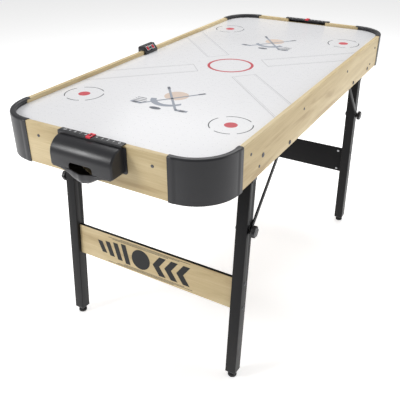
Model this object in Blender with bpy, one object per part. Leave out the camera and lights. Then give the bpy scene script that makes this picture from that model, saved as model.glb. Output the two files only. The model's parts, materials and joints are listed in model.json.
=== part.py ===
"""Folding air hockey table: cabinet, playing surface, goal boxes, blower, scorers and two folding leg frames.

Metres, +Z up. The origin is on the floor under the middle of the table, +X runs along its length to the
far end and +Y to its left side. Each named object is one physical piece.
"""

from math import asin, atan2, cos, degrees, exp, pi, radians, sin, tan

import bmesh
import bpy
from mathutils import Matrix, Vector

# Driving dimensions of the cabinet.
TABLE_LENGTH = 1.524
TABLE_WIDTH = 0.724
RAIL_TOP = 0.859
RAIL_HEIGHT = 0.1215
RAIL_THICKNESS = 0.014
GAP = 0.0003  # clearance left between pieces that touch

# Moulded corner caps: an upside-down U wrapped round the corner, with lips over the rails' ends.
CAP_RADIUS = 0.125
CAP_PROUD = 0.0015
CAP_WALL = 0.0025
CAP_LIP_SIDE = 0.013
CAP_LIP_END = 0.010
CAP_RIM_INWARD = 0.002
CAP_SEGMENTS = 9

SURFACE_DROP = 0.0125
SURFACE_THICKNESS = 0.009
BASE_BOTTOM = 0.768
BASE_THICKNESS = 0.006

# Goals.
SLOT_HALF_WIDTH = 0.088
GOAL_HALF_WIDTH = 0.100
GOAL_WALL = 0.0022
GOAL_DEPTH = 0.0505
GOAL_TOP_DROP = 0.004  # from the rail's top to the goal box's top
GOAL_HEIGHT = 0.0765  # from the rail's top to the goal box's bottom
GOAL_ROUND = 0.042  # height of the rounded part of the goal box's front
FLANGE_HALF_WIDTH = 0.110
HAND_HALF_WIDTH = 0.038
HAND_TOP = 0.056
HAND_ROUND = 0.012
TRAY_HALF_WIDTH = 0.094
TRAY_HANG = 0.036  # how far the puck tray hangs below the goal box in the middle
TRAY_SPREAD = 0.046  # how far along the box it stays deep
MOUTH_HALF_WIDTH = 0.0365
MOUTH_OUT = 0.0065  # how far the tray's rim stands out in the middle
MOUTH_SPREAD = 0.030
RIM_DROP = 0.0055
STRIP_HALF_WIDTH = 0.1025
STRIP_INWARD = 0.0125
STRIP_OUTWARD = 0.0085
STRIP_THICKNESS = 0.003
STRIP_APRON = 0.0035  # how far the strip's outer edge turns down
SLIDER_HALF_WIDTH = 0.0074
SLIDER_WINDOW_HALF = (0.0068, 0.0038)  # out and along the strip

# Electronic scorer, a saddle over the left rail.
SCORER_HALF_LENGTH = 0.0375
SCORER_HEIGHT = 0.0165
SCORER_INNER = 0.3375
SCORER_OUTER = 0.373
BUTTON_RADIUS = 0.003

# Blower under the base board.
BLOWER_RADIUS = 0.052
BLOWER_BOTTOM = 0.724
IMPELLER_RADIUS = 0.044
MOTOR_RADIUS = 0.0175

# Leg frames. They are modelled upright, in line with their pivots, and then lean their feet outwards.
LEG_LEAN = radians(4.48)
PIVOT_X = 0.5022
PIVOT_Z = 0.717
LEG_Y = 0.3194
LEG_DEPTH = 0.038
LEG_WIDTH = 0.036
LEG_CORNER = 0.0015
LEG_WALL = 0.0015
LEG_BOTTOM = 0.0245
LEG_TOP = 0.729
LOCK_DISTANCE = 0.1675  # from the pivot down the leg to the lock bolt
PLUG_BOTTOM = 0.0145
PIN_RADIUS = 0.004
HOLE_RADIUS = PIN_RADIUS + GAP
CROSSBAR_LOW = 0.2636
CROSSBAR_HIGH = 0.377
CROSSBAR_THICKNESS = 0.012
BRACKET_PLATE = 0.0025
BRACKET_HALF_LENGTH = 0.015
BRACKET_FLANGE = 0.040
BRACE_X = 0.3135
BRACE_Z = 0.7517
BRACE_HALF_WIDTH = 0.0075
BRACE_HOOK_RADIUS = 0.0105
BRACE_INNER_Y = 0.3385
BRACE_OUTER_Y = 0.3425
HOOK_SLOT_WIDTH = 0.010
HOOK_SLANT = radians(21.7)
KNOB_RADIUS = 0.017
KNOB_STEM_RADIUS = 0.006
KNOB_HEAD_Y = 0.3458
KNOB_END_Y = 0.3595
FOOT_RADIUS = 0.0148
FOOT_HEIGHT = 0.0095

RAIL_BOTTOM = RAIL_TOP - RAIL_HEIGHT
SURFACE_TOP = RAIL_TOP - SURFACE_DROP
END_X = TABLE_LENGTH / 2
SIDE_Y = TABLE_WIDTH / 2
RAIL_OUT_X = END_X - CAP_PROUD
RAIL_OUT_Y = SIDE_Y - CAP_PROUD
RAIL_IN_X = RAIL_OUT_X - RAIL_THICKNESS
RAIL_IN_Y = RAIL_OUT_Y - RAIL_THICKNESS
ARC_X = END_X - CAP_RADIUS
ARC_Y = SIDE_Y - CAP_RADIUS
LEG_IN_Y = LEG_Y - LEG_WIDTH / 2
LEG_OUT_Y = LEG_Y + LEG_WIDTH / 2
LOCK_UPRIGHT_Z = PIVOT_Z - LOCK_DISTANCE
LOCK_X = PIVOT_X + LOCK_DISTANCE * sin(LEG_LEAN)
LOCK_Z = PIVOT_Z - LOCK_DISTANCE * cos(LEG_LEAN)
FOOT_X = PIVOT_X + (PIVOT_Z - FOOT_HEIGHT) * tan(LEG_LEAN)


def clear_scene():
    for obj in list(bpy.data.objects):
        bpy.data.objects.remove(obj, do_unlink=True)


def material(name, colour, roughness, metallic=0.0):
    made = bpy.data.materials.new(name)
    made.use_nodes = True
    shader = made.node_tree.nodes["Principled BSDF"]
    shader.inputs["Base Color"].default_value = (*colour, 1.0)
    shader.inputs["Roughness"].default_value = roughness
    shader.inputs["Metallic"].default_value = metallic
    made.diffuse_color = (*colour, 1.0)
    return made


def add_object(name, shape, look, smooth_angle=None):
    """Turns a bmesh into a named object whose faces point out."""
    bmesh.ops.recalc_face_normals(shape, faces=shape.faces)
    mesh = bpy.data.meshes.new(name)
    shape.to_mesh(mesh)
    shape.free()
    if look:
        mesh.materials.append(look)
    if smooth_angle:
        mesh.shade_smooth()
        mesh.set_sharp_from_angle(angle=smooth_angle)
    obj = bpy.data.objects.new(name, mesh)
    bpy.context.scene.collection.objects.link(obj)
    return obj


def boolean(obj, tool, operation="DIFFERENCE"):
    """Cuts obj with tool, or joins tool to it. The tool stays as a hidden guide."""
    tool.hide_render = True
    tool.display_type = "WIRE"
    step = obj.modifiers.new(f"{operation.lower()}_{tool.name}", "BOOLEAN")
    step.operation = operation
    step.solver = "EXACT"
    step.object = tool
    return obj


def set_origin(obj, point):
    """Moves an object's origin to a joint's axis and leaves its shape where it is."""
    obj.data.transform(Matrix.Translation(-Vector(point)))
    obj.location = point


def box(name, low, high, look=None, bevel=0.0):
    shape = bmesh.new()
    bmesh.ops.create_cube(shape, size=1.0)
    size = Vector(high) - Vector(low)
    middle = (Vector(high) + Vector(low)) / 2
    bmesh.ops.transform(
        shape, matrix=Matrix.Translation(middle) @ Matrix.Diagonal((*size, 1.0)), verts=shape.verts
    )
    if bevel:
        bmesh.ops.bevel(shape, geom=shape.edges[:], offset=bevel, segments=1, affect="EDGES")
    return add_object(name, shape, look)


AXES = {
    "X": lambda u, v, w: (w, u, v),
    "Y": lambda u, v, w: (u, w, v),
    "Z": lambda u, v, w: (u, v, w),
}


def prism(name, outline, axis, low, high, look=None, smooth_angle=None):
    """Extrudes a closed outline along an axis: a point is (y, z) on X, (x, z) on Y and (x, y) on Z."""
    place = AXES[axis]
    shape = bmesh.new()
    ends = []
    for w in (low, high):
        ends.append([shape.verts.new(place(u, v, w)) for u, v in outline])
    count = len(outline)
    shape.faces.new(ends[0])
    shape.faces.new(ends[1][::-1])
    for i in range(count):
        j = (i + 1) % count
        shape.faces.new((ends[0][i], ends[1][i], ends[1][j], ends[0][j]))
    return add_object(name, shape, look, smooth_angle)


def loft(name, loops, look=None, smooth_angle=None):
    """Joins equal loops of points in a row and closes both ends."""
    shape = bmesh.new()
    rows = [[shape.verts.new(point) for point in loop] for loop in loops]
    count = len(rows[0])
    for lower, upper in zip(rows, rows[1:]):
        for i in range(count):
            j = (i + 1) % count
            shape.faces.new((lower[i], lower[j], upper[j], upper[i]))
    shape.faces.new(rows[0][::-1])
    shape.faces.new(rows[-1])
    return add_object(name, shape, look, smooth_angle)


def turned(name, profile, centre, axis, look=None, segments=20, waves=0, wave=0.0):
    """Turns a profile of (radius, height) about an axis through centre. Waves make lobes on its wide part."""
    place = AXES[axis]
    widest = max(radius for radius, _ in profile)
    loops = []
    for radius, height in profile:
        lobe = wave if radius > 0.7 * widest else 0.0
        loop = []
        for i in range(segments):
            angle = 2 * pi * i / segments
            r = radius * (1 + lobe * cos(waves * angle))
            loop.append(Vector(centre) + Vector(place(r * cos(angle), r * sin(angle), height)))
        loops.append(loop)
    return loft(name, loops, look, smooth_angle=radians(35))


def pin_hole(name, x, z, radius=HOLE_RADIUS, low=-0.5, high=0.5):
    """A round cutter along Y."""
    return turned(name, [(radius, low), (radius, high)], (x, 0, z), "Y", segments=16)


def arc(centre, radius, start, end, steps):
    """Points of an arc, angles in degrees."""
    points = []
    for i in range(steps + 1):
        angle = radians(start + (end - start) * i / steps)
        points.append((centre[0] + radius * cos(angle), centre[1] + radius * sin(angle)))
    return points


def rounded_rectangle(half_x, half_y, radius, steps):
    outline = []
    for quarter, (sx, sy) in enumerate(((1, 1), (-1, 1), (-1, -1), (1, -1))):
        centre = (sx * (half_x - radius), sy * (half_y - radius))
        outline += arc(centre, radius, 90 * quarter, 90 * quarter + 90, steps)
    return outline


# ---------------------------------------------------------------- cabinet


def build_rails(looks):
    for side, sy in (("left", 1), ("right", -1)):
        low_y, high_y = sorted((sy * RAIL_IN_Y, sy * RAIL_OUT_Y))
        rail = box(
            f"side_rail_{side}",
            (-ARC_X + GAP, low_y, RAIL_BOTTOM),
            (ARC_X - GAP, high_y, RAIL_TOP),
            looks["wood"],
            bevel=0.0008,
        )
        for sx in (-1, 1):
            boolean(rail, pin_hole(f"cut_rail_{side}_{sx}", sx * BRACE_X, BRACE_Z))
    half = ARC_Y - GAP
    outline = [
        (-half, RAIL_BOTTOM),
        (half, RAIL_BOTTOM),
        (half, RAIL_TOP),
        (SLOT_HALF_WIDTH, RAIL_TOP),
        (SLOT_HALF_WIDTH, SURFACE_TOP),
        (-SLOT_HALF_WIDTH, SURFACE_TOP),
        (-SLOT_HALF_WIDTH, RAIL_TOP),
        (-half, RAIL_TOP),
    ]
    for end, sx in (("near", -1), ("far", 1)):
        low_x, high_x = sorted((sx * RAIL_IN_X, sx * RAIL_OUT_X))
        prism(f"end_rail_{end}", outline, "X", low_x, high_x, looks["wood"])


def cap_profile():
    """(distance out from the cap's face, height) round the upside-down U."""
    top = RAIL_TOP + 0.002
    low = RAIL_BOTTOM - CAP_PROUD
    inner = -(CAP_PROUD + RAIL_THICKNESS)
    rim = inner - CAP_RIM_INWARD
    outer_round = 0.006
    inner_round = 0.004
    points = [(0.0, low)]
    points += arc((-outer_round, top - outer_round), outer_round, 0, 90, 3)
    points += arc((rim + inner_round, top - inner_round), inner_round, 90, 180, 3)
    points += [
        (rim, top - 0.007),
        (inner, top - 0.008),
        (inner, SURFACE_TOP - SURFACE_THICKNESS),
        (inner + CAP_WALL, SURFACE_TOP - SURFACE_THICKNESS),
        (inner + CAP_WALL, top - CAP_WALL - 0.002),
        (-CAP_WALL, top - CAP_WALL - 0.002),
        (-CAP_WALL, low),
    ]
    return points


def build_caps(looks):
    profile = cap_profile()
    stations = [((ARC_X - CAP_LIP_SIDE, ARC_Y), 90.0)]
    for i in range(CAP_SEGMENTS + 1):
        stations.append(((ARC_X, ARC_Y), 90.0 - 90.0 * i / CAP_SEGMENTS))
    stations.append(((ARC_X, ARC_Y - CAP_LIP_END), 0.0))
    beyond = 0.03
    for end, sx in (("near", -1), ("far", 1)):
        for side, sy in (("left", 1), ("right", -1)):
            loops = []
            for (cx, cy), angle in stations:
                ux, uy = cos(radians(angle)), sin(radians(angle))
                loops.append(
                    [
                        (sx * (cx + (CAP_RADIUS + n) * ux), sy * (cy + (CAP_RADIUS + n) * uy), z)
                        for n, z in profile
                    ]
                )
            cap = loft(f"corner_cap_{end}_{side}", loops, looks["plastic"], radians(40))
            rail_space = (
                ((ARC_X - beyond, RAIL_IN_Y - beyond), (ARC_X, RAIL_OUT_Y + GAP)),
                ((RAIL_IN_X - beyond, ARC_Y - beyond), (RAIL_OUT_X + GAP, ARC_Y)),
            )
            for number, (low, high) in enumerate(rail_space):
                xs = sorted((sx * low[0], sx * high[0]))
                ys = sorted((sy * low[1], sy * high[1]))
                cutter = box(
                    f"cut_cap_{end}_{side}_{number}",
                    (xs[0], ys[0], RAIL_BOTTOM - beyond),
                    (xs[1], ys[1], RAIL_TOP + GAP),
                )
                boolean(cap, cutter)


def build_boards(looks):
    corner = CAP_RADIUS - CAP_PROUD - RAIL_THICKNESS - GAP
    outline = rounded_rectangle(RAIL_IN_X - GAP, RAIL_IN_Y - GAP, corner, CAP_SEGMENTS)
    prism("playing_surface", outline, "Z", SURFACE_TOP - SURFACE_THICKNESS, SURFACE_TOP, looks["surface"])
    base = prism("base_board", outline, "Z", BASE_BOTTOM, BASE_BOTTOM + BASE_THICKNESS, looks["board"])
    outlet = turned(
        "cut_base_outlet", [(IMPELLER_RADIUS, 0.7), (IMPELLER_RADIUS, 0.8)], (0, 0, 0), "Z", segments=24
    )
    boolean(base, outlet)


# ---------------------------------------------------------------- goals


def goal_outline(inset, back):
    """Half-round side profile as (distance out from the rail, height), walked from the top of the back."""
    top = RAIL_TOP - GOAL_TOP_DROP - inset
    low = RAIL_TOP - GOAL_HEIGHT + inset
    front = GOAL_DEPTH - inset
    start = 0.002
    steps = 8
    points = [(back, low), (back, top)]
    for i in range(steps + 1):
        angle = pi / 2 * (1 - i / steps)
        points.append((start + (front - start) * cos(angle), top - GOAL_ROUND * (1 - sin(angle))))
    points += [(front, low + 0.003), (front - 0.003, low)]
    return points


def tray_loops(half_width, steps, section):
    """Sections across the puck tray. section(depth, swell) gives each as (distance out, height)."""
    loops = []
    for i in range(steps + 1):
        y = half_width * (-1 + 2 * i / steps)
        depth = TRAY_HANG * exp(-((y / TRAY_SPREAD) ** 2))
        swell = exp(-((y / MOUTH_SPREAD) ** 2))
        loops.append([(n, y, z) for n, z in section(depth, swell)])
    return loops


def tray_body(depth, swell):
    """The tray's outside: a bowl under the goal box whose rim stands out below the hand opening."""
    low = RAIL_TOP - GOAL_HEIGHT
    back = 2 * GAP - CAP_PROUD
    out = GOAL_DEPTH - GAP + MOUTH_OUT * swell
    rim = low + 0.001 - RIM_DROP * swell
    return [
        (back, low + 0.001),
        (GOAL_DEPTH - 0.002, low + 0.001),
        (out, rim),
        (out - 0.001 * swell, rim - 0.35 * depth - 0.0006),
        (out - 0.006 * swell - 0.001, low - 0.8 * depth - 0.0008),
        (GOAL_DEPTH - 0.014, low - depth - 0.001),
        (back, low - depth - 0.001),
    ]


def tray_bowl(depth, swell):
    """The room inside the tray, open to the goal box above it and to the end rail behind it."""
    low = RAIL_TOP - GOAL_HEIGHT
    floor = low - depth - 0.001 + GOAL_WALL
    front = GOAL_DEPTH - GAP - 0.001 - GOAL_WALL
    return [
        (-0.012, low + 0.004),
        (front, low + 0.004),
        (front, low - 0.35 * depth + 0.001),
        (GOAL_DEPTH - 0.0155, floor),
        (-0.012, floor),
    ]


def tray_mouth(depth, swell):
    """The room behind the rim, open upwards into the hand opening."""
    low = RAIL_TOP - GOAL_HEIGHT
    out = GOAL_DEPTH - GAP + MOUTH_OUT * swell - GOAL_WALL
    rim = low + 0.001 - RIM_DROP * swell
    floor = low - 0.8 * depth - 0.0008 + GOAL_WALL
    return [
        (0.030, low + 0.005),
        (out, low + 0.005),
        (out - 0.001 * swell, rim - 0.35 * depth - 0.0006),
        (out - 0.006 * swell - 0.001, floor),
        (0.030, floor),
    ]


def build_goals(looks):
    back_gap = GAP - CAP_PROUD
    for end, sx in (("near", -1), ("far", 1)):

        def at(points):
            return [(sx * (END_X + n), z) for n, z in points]

        def prism_y(name, points, half, look=None, smooth=None):
            return prism(name, at(points), "Y", -half, half, look, smooth)

        goal = prism_y(
            f"goal_box_{end}", goal_outline(0.0, back_gap), GOAL_HALF_WIDTH, looks["plastic"], radians(30)
        )
        xs = sorted((sx * (END_X + back_gap), sx * (END_X + 0.001)))
        flange = box(
            f"add_goal_flange_{end}",
            (xs[0], -FLANGE_HALF_WIDTH, RAIL_TOP - GOAL_HEIGHT - 0.001),
            (xs[1], FLANGE_HALF_WIDTH, RAIL_TOP - GOAL_TOP_DROP - 0.001),
        )
        boolean(goal, flange, "UNION")

        def tray(name, half_width, steps, section):
            loops = tray_loops(half_width, steps, section)
            return loft(name, [[(sx * (END_X + n), y, z) for n, y, z in loop] for loop in loops])

        boolean(goal, tray(f"add_tray_{end}", TRAY_HALF_WIDTH, 16, tray_body), "UNION")
        hollow = prism_y(
            f"cut_goal_hollow_{end}", goal_outline(GOAL_WALL, -0.01), GOAL_HALF_WIDTH - GOAL_WALL
        )
        boolean(goal, hollow)
        boolean(goal, tray(f"cut_tray_bowl_{end}", TRAY_HALF_WIDTH - 0.004, 16, tray_bowl))
        boolean(goal, tray(f"cut_tray_mouth_{end}", MOUTH_HALF_WIDTH, 8, tray_mouth))
        low = RAIL_TOP - GOAL_HEIGHT + GOAL_WALL
        high = RAIL_TOP - HAND_TOP
        opening = [
            (-HAND_HALF_WIDTH, low),
            (HAND_HALF_WIDTH, low),
            *arc((HAND_HALF_WIDTH - HAND_ROUND, high - HAND_ROUND), HAND_ROUND, 0, 90, 4),
            *arc((-HAND_HALF_WIDTH + HAND_ROUND, high - HAND_ROUND), HAND_ROUND, 90, 180, 4),
        ]
        span = sorted((sx * (END_X + 0.030), sx * (END_X + 0.080)))
        boolean(goal, prism(f"cut_goal_hand_{end}", opening, "X", *span))
        build_score_strip(end, sx, looks)


def build_score_strip(end, sx, looks):
    low = RAIL_TOP + GAP
    top = low + STRIP_THICKNESS
    inner, outer = -STRIP_INWARD, STRIP_OUTWARD
    apron = low - STRIP_APRON
    strip = [(inner, low), (outer - 0.002, low), (outer - 0.002, apron), (outer, apron)]
    strip += [(outer, top - 0.001), (outer - 0.001, top), (inner + 0.001, top), (inner, top - 0.001)]
    prism(
        f"score_strip_{end}",
        [(sx * (END_X + n), z) for n, z in strip],
        "Y",
        -STRIP_HALF_WIDTH,
        STRIP_HALF_WIDTH,
        looks["plastic"],
    )
    skirt, plate = 0.0015, 0.003
    hem = low + 0.0005
    saddle = [
        (inner - GAP, hem),
        (inner - GAP, top + GAP),
        (outer + GAP, top + GAP),
        (outer + GAP, hem),
        (outer + GAP + skirt, hem),
        (outer + GAP + skirt, top + plate - 0.001),
        (outer + GAP + skirt - 0.001, top + plate),
        (inner - GAP - skirt + 0.001, top + plate),
        (inner - GAP - skirt, top + plate - 0.001),
        (inner - GAP - skirt, hem),
    ]
    slider = prism(
        f"score_slider_{end}",
        [(sx * (END_X + n), z) for n, z in saddle],
        "Y",
        -SLIDER_HALF_WIDTH,
        SLIDER_HALF_WIDTH,
        looks["red"],
    )
    middle = sx * (END_X + (inner + outer) / 2)
    window = box(
        f"cut_slider_{end}",
        (middle - SLIDER_WINDOW_HALF[0], -SLIDER_WINDOW_HALF[1], RAIL_TOP),
        (middle + SLIDER_WINDOW_HALF[0], SLIDER_WINDOW_HALF[1], top + 0.02),
    )
    boolean(slider, window)


# ---------------------------------------------------------------- electronic scorer


def build_scorer(looks):
    top = RAIL_TOP + SCORER_HEIGHT
    slope_top = (0.352, top)
    slope_low = (SCORER_INNER, RAIL_TOP - 0.003)
    outline = [
        (SCORER_INNER, SURFACE_TOP + 0.0008),
        (RAIL_IN_Y - GAP, SURFACE_TOP + 0.0008),
        (RAIL_IN_Y - GAP, RAIL_TOP + GAP),
        (RAIL_OUT_Y + GAP, RAIL_TOP + GAP),
        (RAIL_OUT_Y + GAP, RAIL_TOP - 0.006),
        (SCORER_OUTER, RAIL_TOP - 0.006),
        *arc((SCORER_OUTER - 0.008, top - 0.008), 0.008, 0, 90, 4),
        slope_top,
        slope_low,
    ]
    housing = prism(
        "scorer_housing", outline, "X", -SCORER_HALF_LENGTH, SCORER_HALF_LENGTH, looks["plastic"], radians(30)
    )
    along = Vector((slope_low[0] - slope_top[0], slope_low[1] - slope_top[1])).normalized()
    out = Vector((along.y, -along.x))
    start = Vector(slope_top) + along * 0.003 + out * GAP
    finish = Vector(slope_low) - along * 0.002 + out * GAP
    lens = [start, start + out * 0.0012, finish + out * 0.0012, finish]
    prism("scorer_lens", [tuple(p) for p in lens], "X", -0.031, 0.031, looks["lens"])
    x, y = -0.027, 0.3585
    well = [(BUTTON_RADIUS + GAP, top - 0.0035), (BUTTON_RADIUS + GAP, top + 0.01)]
    boolean(housing, turned("cut_button_reset", well, (x, y, 0), "Z", segments=16))
    profile = [(BUTTON_RADIUS, -0.0018), (BUTTON_RADIUS, 0.0008), (BUTTON_RADIUS * 0.85, 0.0013)]
    turned("reset_button", profile, (x, y, top), "Z", looks["button"], segments=16)


# ---------------------------------------------------------------- blower and power


def build_blower(looks):
    top = BASE_BOTTOM - GAP
    wall = 0.002
    shell = [
        (BLOWER_RADIUS, BLOWER_BOTTOM),
        (BLOWER_RADIUS, top - wall),
        (BLOWER_RADIUS + 0.008, top - wall),
        (BLOWER_RADIUS + 0.008, top),
        (BLOWER_RADIUS - wall, top),
        (BLOWER_RADIUS - wall, BLOWER_BOTTOM + wall),
    ]
    housing = turned("blower_housing", shell, (0, 0, 0), "Z", looks["plastic"], segments=32)
    for number in range(6):
        start = 60 * number + 8
        sector = arc((0, 0), 0.040, start, start + 44, 3) + arc((0, 0), 0.020, start + 44, start, 3)
        cutter = prism(f"cut_blower_{number}", sector, "Z", BLOWER_BOTTOM - 0.01, BLOWER_BOTTOM + 0.01)
        boolean(housing, cutter)
    base = BLOWER_BOTTOM + wall + GAP
    motor = [
        (MOTOR_RADIUS, base),
        (MOTOR_RADIUS, base + 0.017),
        (MOTOR_RADIUS - 0.002, base + 0.019),
        (0.004, base + 0.019),
        (0.004, base + 0.021),
        (0.0015, base + 0.021),
        (0.0015, base + 0.028),
    ]
    turned("blower_motor", motor, (0, 0, 0), "Z", looks["steel"], segments=20)
    build_impeller(base + 0.0225, looks)


def build_impeller(disc_low, looks):
    """A disc on the motor's shaft with blades hanging from its rim."""
    blades = 12
    blade_angle = radians(5)
    radii = (0.0015 + GAP, 0.030, IMPELLER_RADIUS - 0.002)
    blade_height, disc_height = 0.017, 0.002
    angles = []
    for i in range(blades):
        angles += [2 * pi * i / blades, 2 * pi * i / blades + blade_angle]
    shape = bmesh.new()
    rings = {}
    for level in (disc_low, disc_low + disc_height):
        for radius in radii:
            rings[level, radius] = [
                shape.verts.new((radius * cos(a), radius * sin(a), level)) for a in angles
            ]
    count = len(angles)
    low_level, high_level = disc_low, disc_low + disc_height
    undersides = []
    for i in range(count):
        j = (i + 1) % count
        for inner, outer in zip(radii, radii[1:]):
            for level in (low_level, high_level):
                a, b = rings[level, inner], rings[level, outer]
                face = shape.faces.new((a[i], a[j], b[j], b[i]))
                if level == low_level and inner == radii[1] and i % 2 == 0:
                    undersides.append(face)
        for radius in (radii[0], radii[-1]):
            a, b = rings[low_level, radius], rings[high_level, radius]
            shape.faces.new((a[i], a[j], b[j], b[i]))
    bmesh.ops.recalc_face_normals(shape, faces=shape.faces)
    for face in undersides:
        made = bmesh.ops.extrude_discrete_faces(shape, faces=[face])["faces"][0]
        bmesh.ops.translate(shape, verts=made.verts, vec=(0, 0, -blade_height))
    add_object("blower_impeller", shape, looks["button"])


def build_power(looks):
    """A small box under the base board with the low-voltage socket and the blower's rocker switch."""
    y = -0.200
    top = BASE_BOTTOM - GAP
    low = top - 0.026
    power_box = box("power_box", (-0.034, y - 0.022, low), (0.034, y + 0.022, top), looks["plastic"], 0.001)
    hollow = box("cut_power_hollow", (-0.031, y - 0.019, low + 0.003), (0.031, y + 0.019, top + 0.01))
    boolean(power_box, hollow)
    window = box("cut_power_switch", (0.006, y - 0.0075, low - 0.01), (0.026, y + 0.0075, low + 0.01))
    boolean(power_box, window)
    jack_x = -0.016
    collar = [(0.0075, -0.0018), (0.0075, 0.001), (0.0055, 0.001), (0.0055, 0.009)]
    boolean(power_box, turned("add_jack_collar", collar, (jack_x, y, low), "Z", segments=16), "UNION")
    bore = [(0.003, -0.01), (0.003, 0.007)]
    boolean(power_box, turned("cut_jack_bore", bore, (jack_x, y, low), "Z", segments=12))
    rocker_x = 0.016
    outline = [
        (rocker_x - 0.0085, low - 0.0022),
        (rocker_x, low - 0.0012),
        (rocker_x + 0.0085, low - 0.0022),
        (rocker_x + 0.0085, low + 0.0015),
        (rocker_x + 0.004, low + 0.006),
        (rocker_x - 0.004, low + 0.006),
        (rocker_x - 0.0085, low + 0.0015),
    ]
    rocker = prism("power_switch", outline, "Y", y - 0.0065, y + 0.0065, looks["red"])
    set_origin(rocker, (rocker_x, y, low + 0.002))


# ---------------------------------------------------------------- leg frames


def build_leg(name, sx, sy, looks):
    outline = rounded_rectangle(LEG_DEPTH / 2, LEG_WIDTH / 2, LEG_CORNER, 1)
    bore = rounded_rectangle(LEG_DEPTH / 2 - LEG_WALL, LEG_WIDTH / 2 - LEG_WALL, 0.001, 1)

    def at(points):
        return [(sx * PIVOT_X + x, sy * LEG_Y + y) for x, y in points]

    leg = prism(f"leg_{name}", at(outline), "Z", LEG_BOTTOM, LEG_TOP, looks["legs"])
    boolean(leg, prism(f"cut_leg_bore_{name}", at(bore), "Z", LEG_BOTTOM - 0.01, LEG_TOP + 0.01))
    for number, z in enumerate((PIVOT_Z, LOCK_UPRIGHT_Z)):
        boolean(leg, pin_hole(f"cut_leg_{name}_{number}", sx * PIVOT_X, z))


def build_foot_plug(name, sx, sy, looks):
    """The end plug in the tube's mouth: a collar flush with the tube and a taper down to the foot."""
    x, y = sx * PIVOT_X, sy * LEG_Y
    steps = 4

    def ring(half_x, half_y, radius, z):
        return [(x + px, y + py, z) for px, py in rounded_rectangle(half_x, half_y, radius, steps)]

    half_x, half_y = LEG_DEPTH / 2, LEG_WIDTH / 2
    fit_x = half_x - LEG_WALL - GAP
    fit_y = half_y - LEG_WALL - GAP
    shoulder = LEG_BOTTOM - GAP
    loops = [
        ring(0.0110, 0.0110, 0.0108, PLUG_BOTTOM),
        ring(0.0150, 0.0145, 0.0080, PLUG_BOTTOM + 0.0025),
        ring(half_x, half_y, LEG_CORNER, PLUG_BOTTOM + 0.0060),
        ring(half_x, half_y, LEG_CORNER, shoulder),
        ring(fit_x, fit_y, 0.0010, shoulder),
        ring(fit_x, fit_y, 0.0010, shoulder + 0.025),
    ]
    plug = loft(f"foot_plug_{name}", loops, looks["plastic"], radians(40))
    bore = [(HOLE_RADIUS, 0.0), (HOLE_RADIUS, shoulder + 0.020)]
    boolean(plug, turned(f"cut_plug_{name}", bore, (x, y, 0), "Z", segments=16))


def build_foot(name, sx, sy, looks):
    """A pad that lies flat on the floor. Returns its screw stud, which leans with the leg."""
    pad = [
        (FOOT_RADIUS - 0.002, 0.0),
        (FOOT_RADIUS, 0.002),
        (FOOT_RADIUS, FOOT_HEIGHT - 0.002),
        (FOOT_RADIUS - 0.002, FOOT_HEIGHT),
        (0.0065, FOOT_HEIGHT + 0.0005),
        (0.0065, FOOT_HEIGHT + 0.0025),
    ]
    centre = (sx * FOOT_X, sy * LEG_Y, 0)
    foot = turned(f"levelling_foot_{name}", pad, centre, "Z", looks["rubber"], segments=20)
    stud_line = (sx * PIVOT_X, sy * LEG_Y, 0)
    top = LEG_BOTTOM + 0.017
    stud = turned(f"add_stud_{name}", [(PIN_RADIUS, 0.005), (PIN_RADIUS, top)], stud_line, "Z", segments=16)
    boolean(foot, stud, "UNION")
    set_origin(foot, centre)
    return stud


def build_bracket(name, sx, sy, looks):
    top = BASE_BOTTOM - GAP
    low = PIVOT_Z - 0.013
    out = LEG_OUT_Y + GAP
    inner = LEG_IN_Y - GAP
    outline = [
        (inner - BRACKET_FLANGE, top),
        (out + BRACKET_PLATE, top),
        (out + BRACKET_PLATE, low),
        (out, low),
        (out, top - BRACKET_PLATE),
        (inner, top - BRACKET_PLATE),
        (inner, low),
        (inner - BRACKET_PLATE, low),
        (inner - BRACKET_PLATE, top - BRACKET_PLATE),
        (inner - BRACKET_FLANGE, top - BRACKET_PLATE),
    ]
    span = (sx * PIVOT_X - BRACKET_HALF_LENGTH, sx * PIVOT_X + BRACKET_HALF_LENGTH)
    bracket = prism(f"hinge_bracket_{name}", [(sy * y, z) for y, z in outline], "X", *span, looks["legs"])
    boolean(bracket, pin_hole(f"cut_bracket_{name}", sx * PIVOT_X, PIVOT_Z))


def build_pivot_rod(end, sx, looks):
    tail = LEG_OUT_Y + 2 * GAP + BRACKET_PLATE
    profile = [
        (0.0065, -tail - 0.0030),
        (0.0075, -tail - 0.0022),
        (0.0075, -tail),
        (PIN_RADIUS, -tail),
        (PIN_RADIUS, tail),
        (0.0075, tail),
        (0.0075, tail + 0.0022),
        (0.0065, tail + 0.0030),
    ]
    turned(f"pivot_rod_{end}", profile, (sx * PIVOT_X, 0, PIVOT_Z), "Y", looks["steel"], segments=16)


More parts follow.
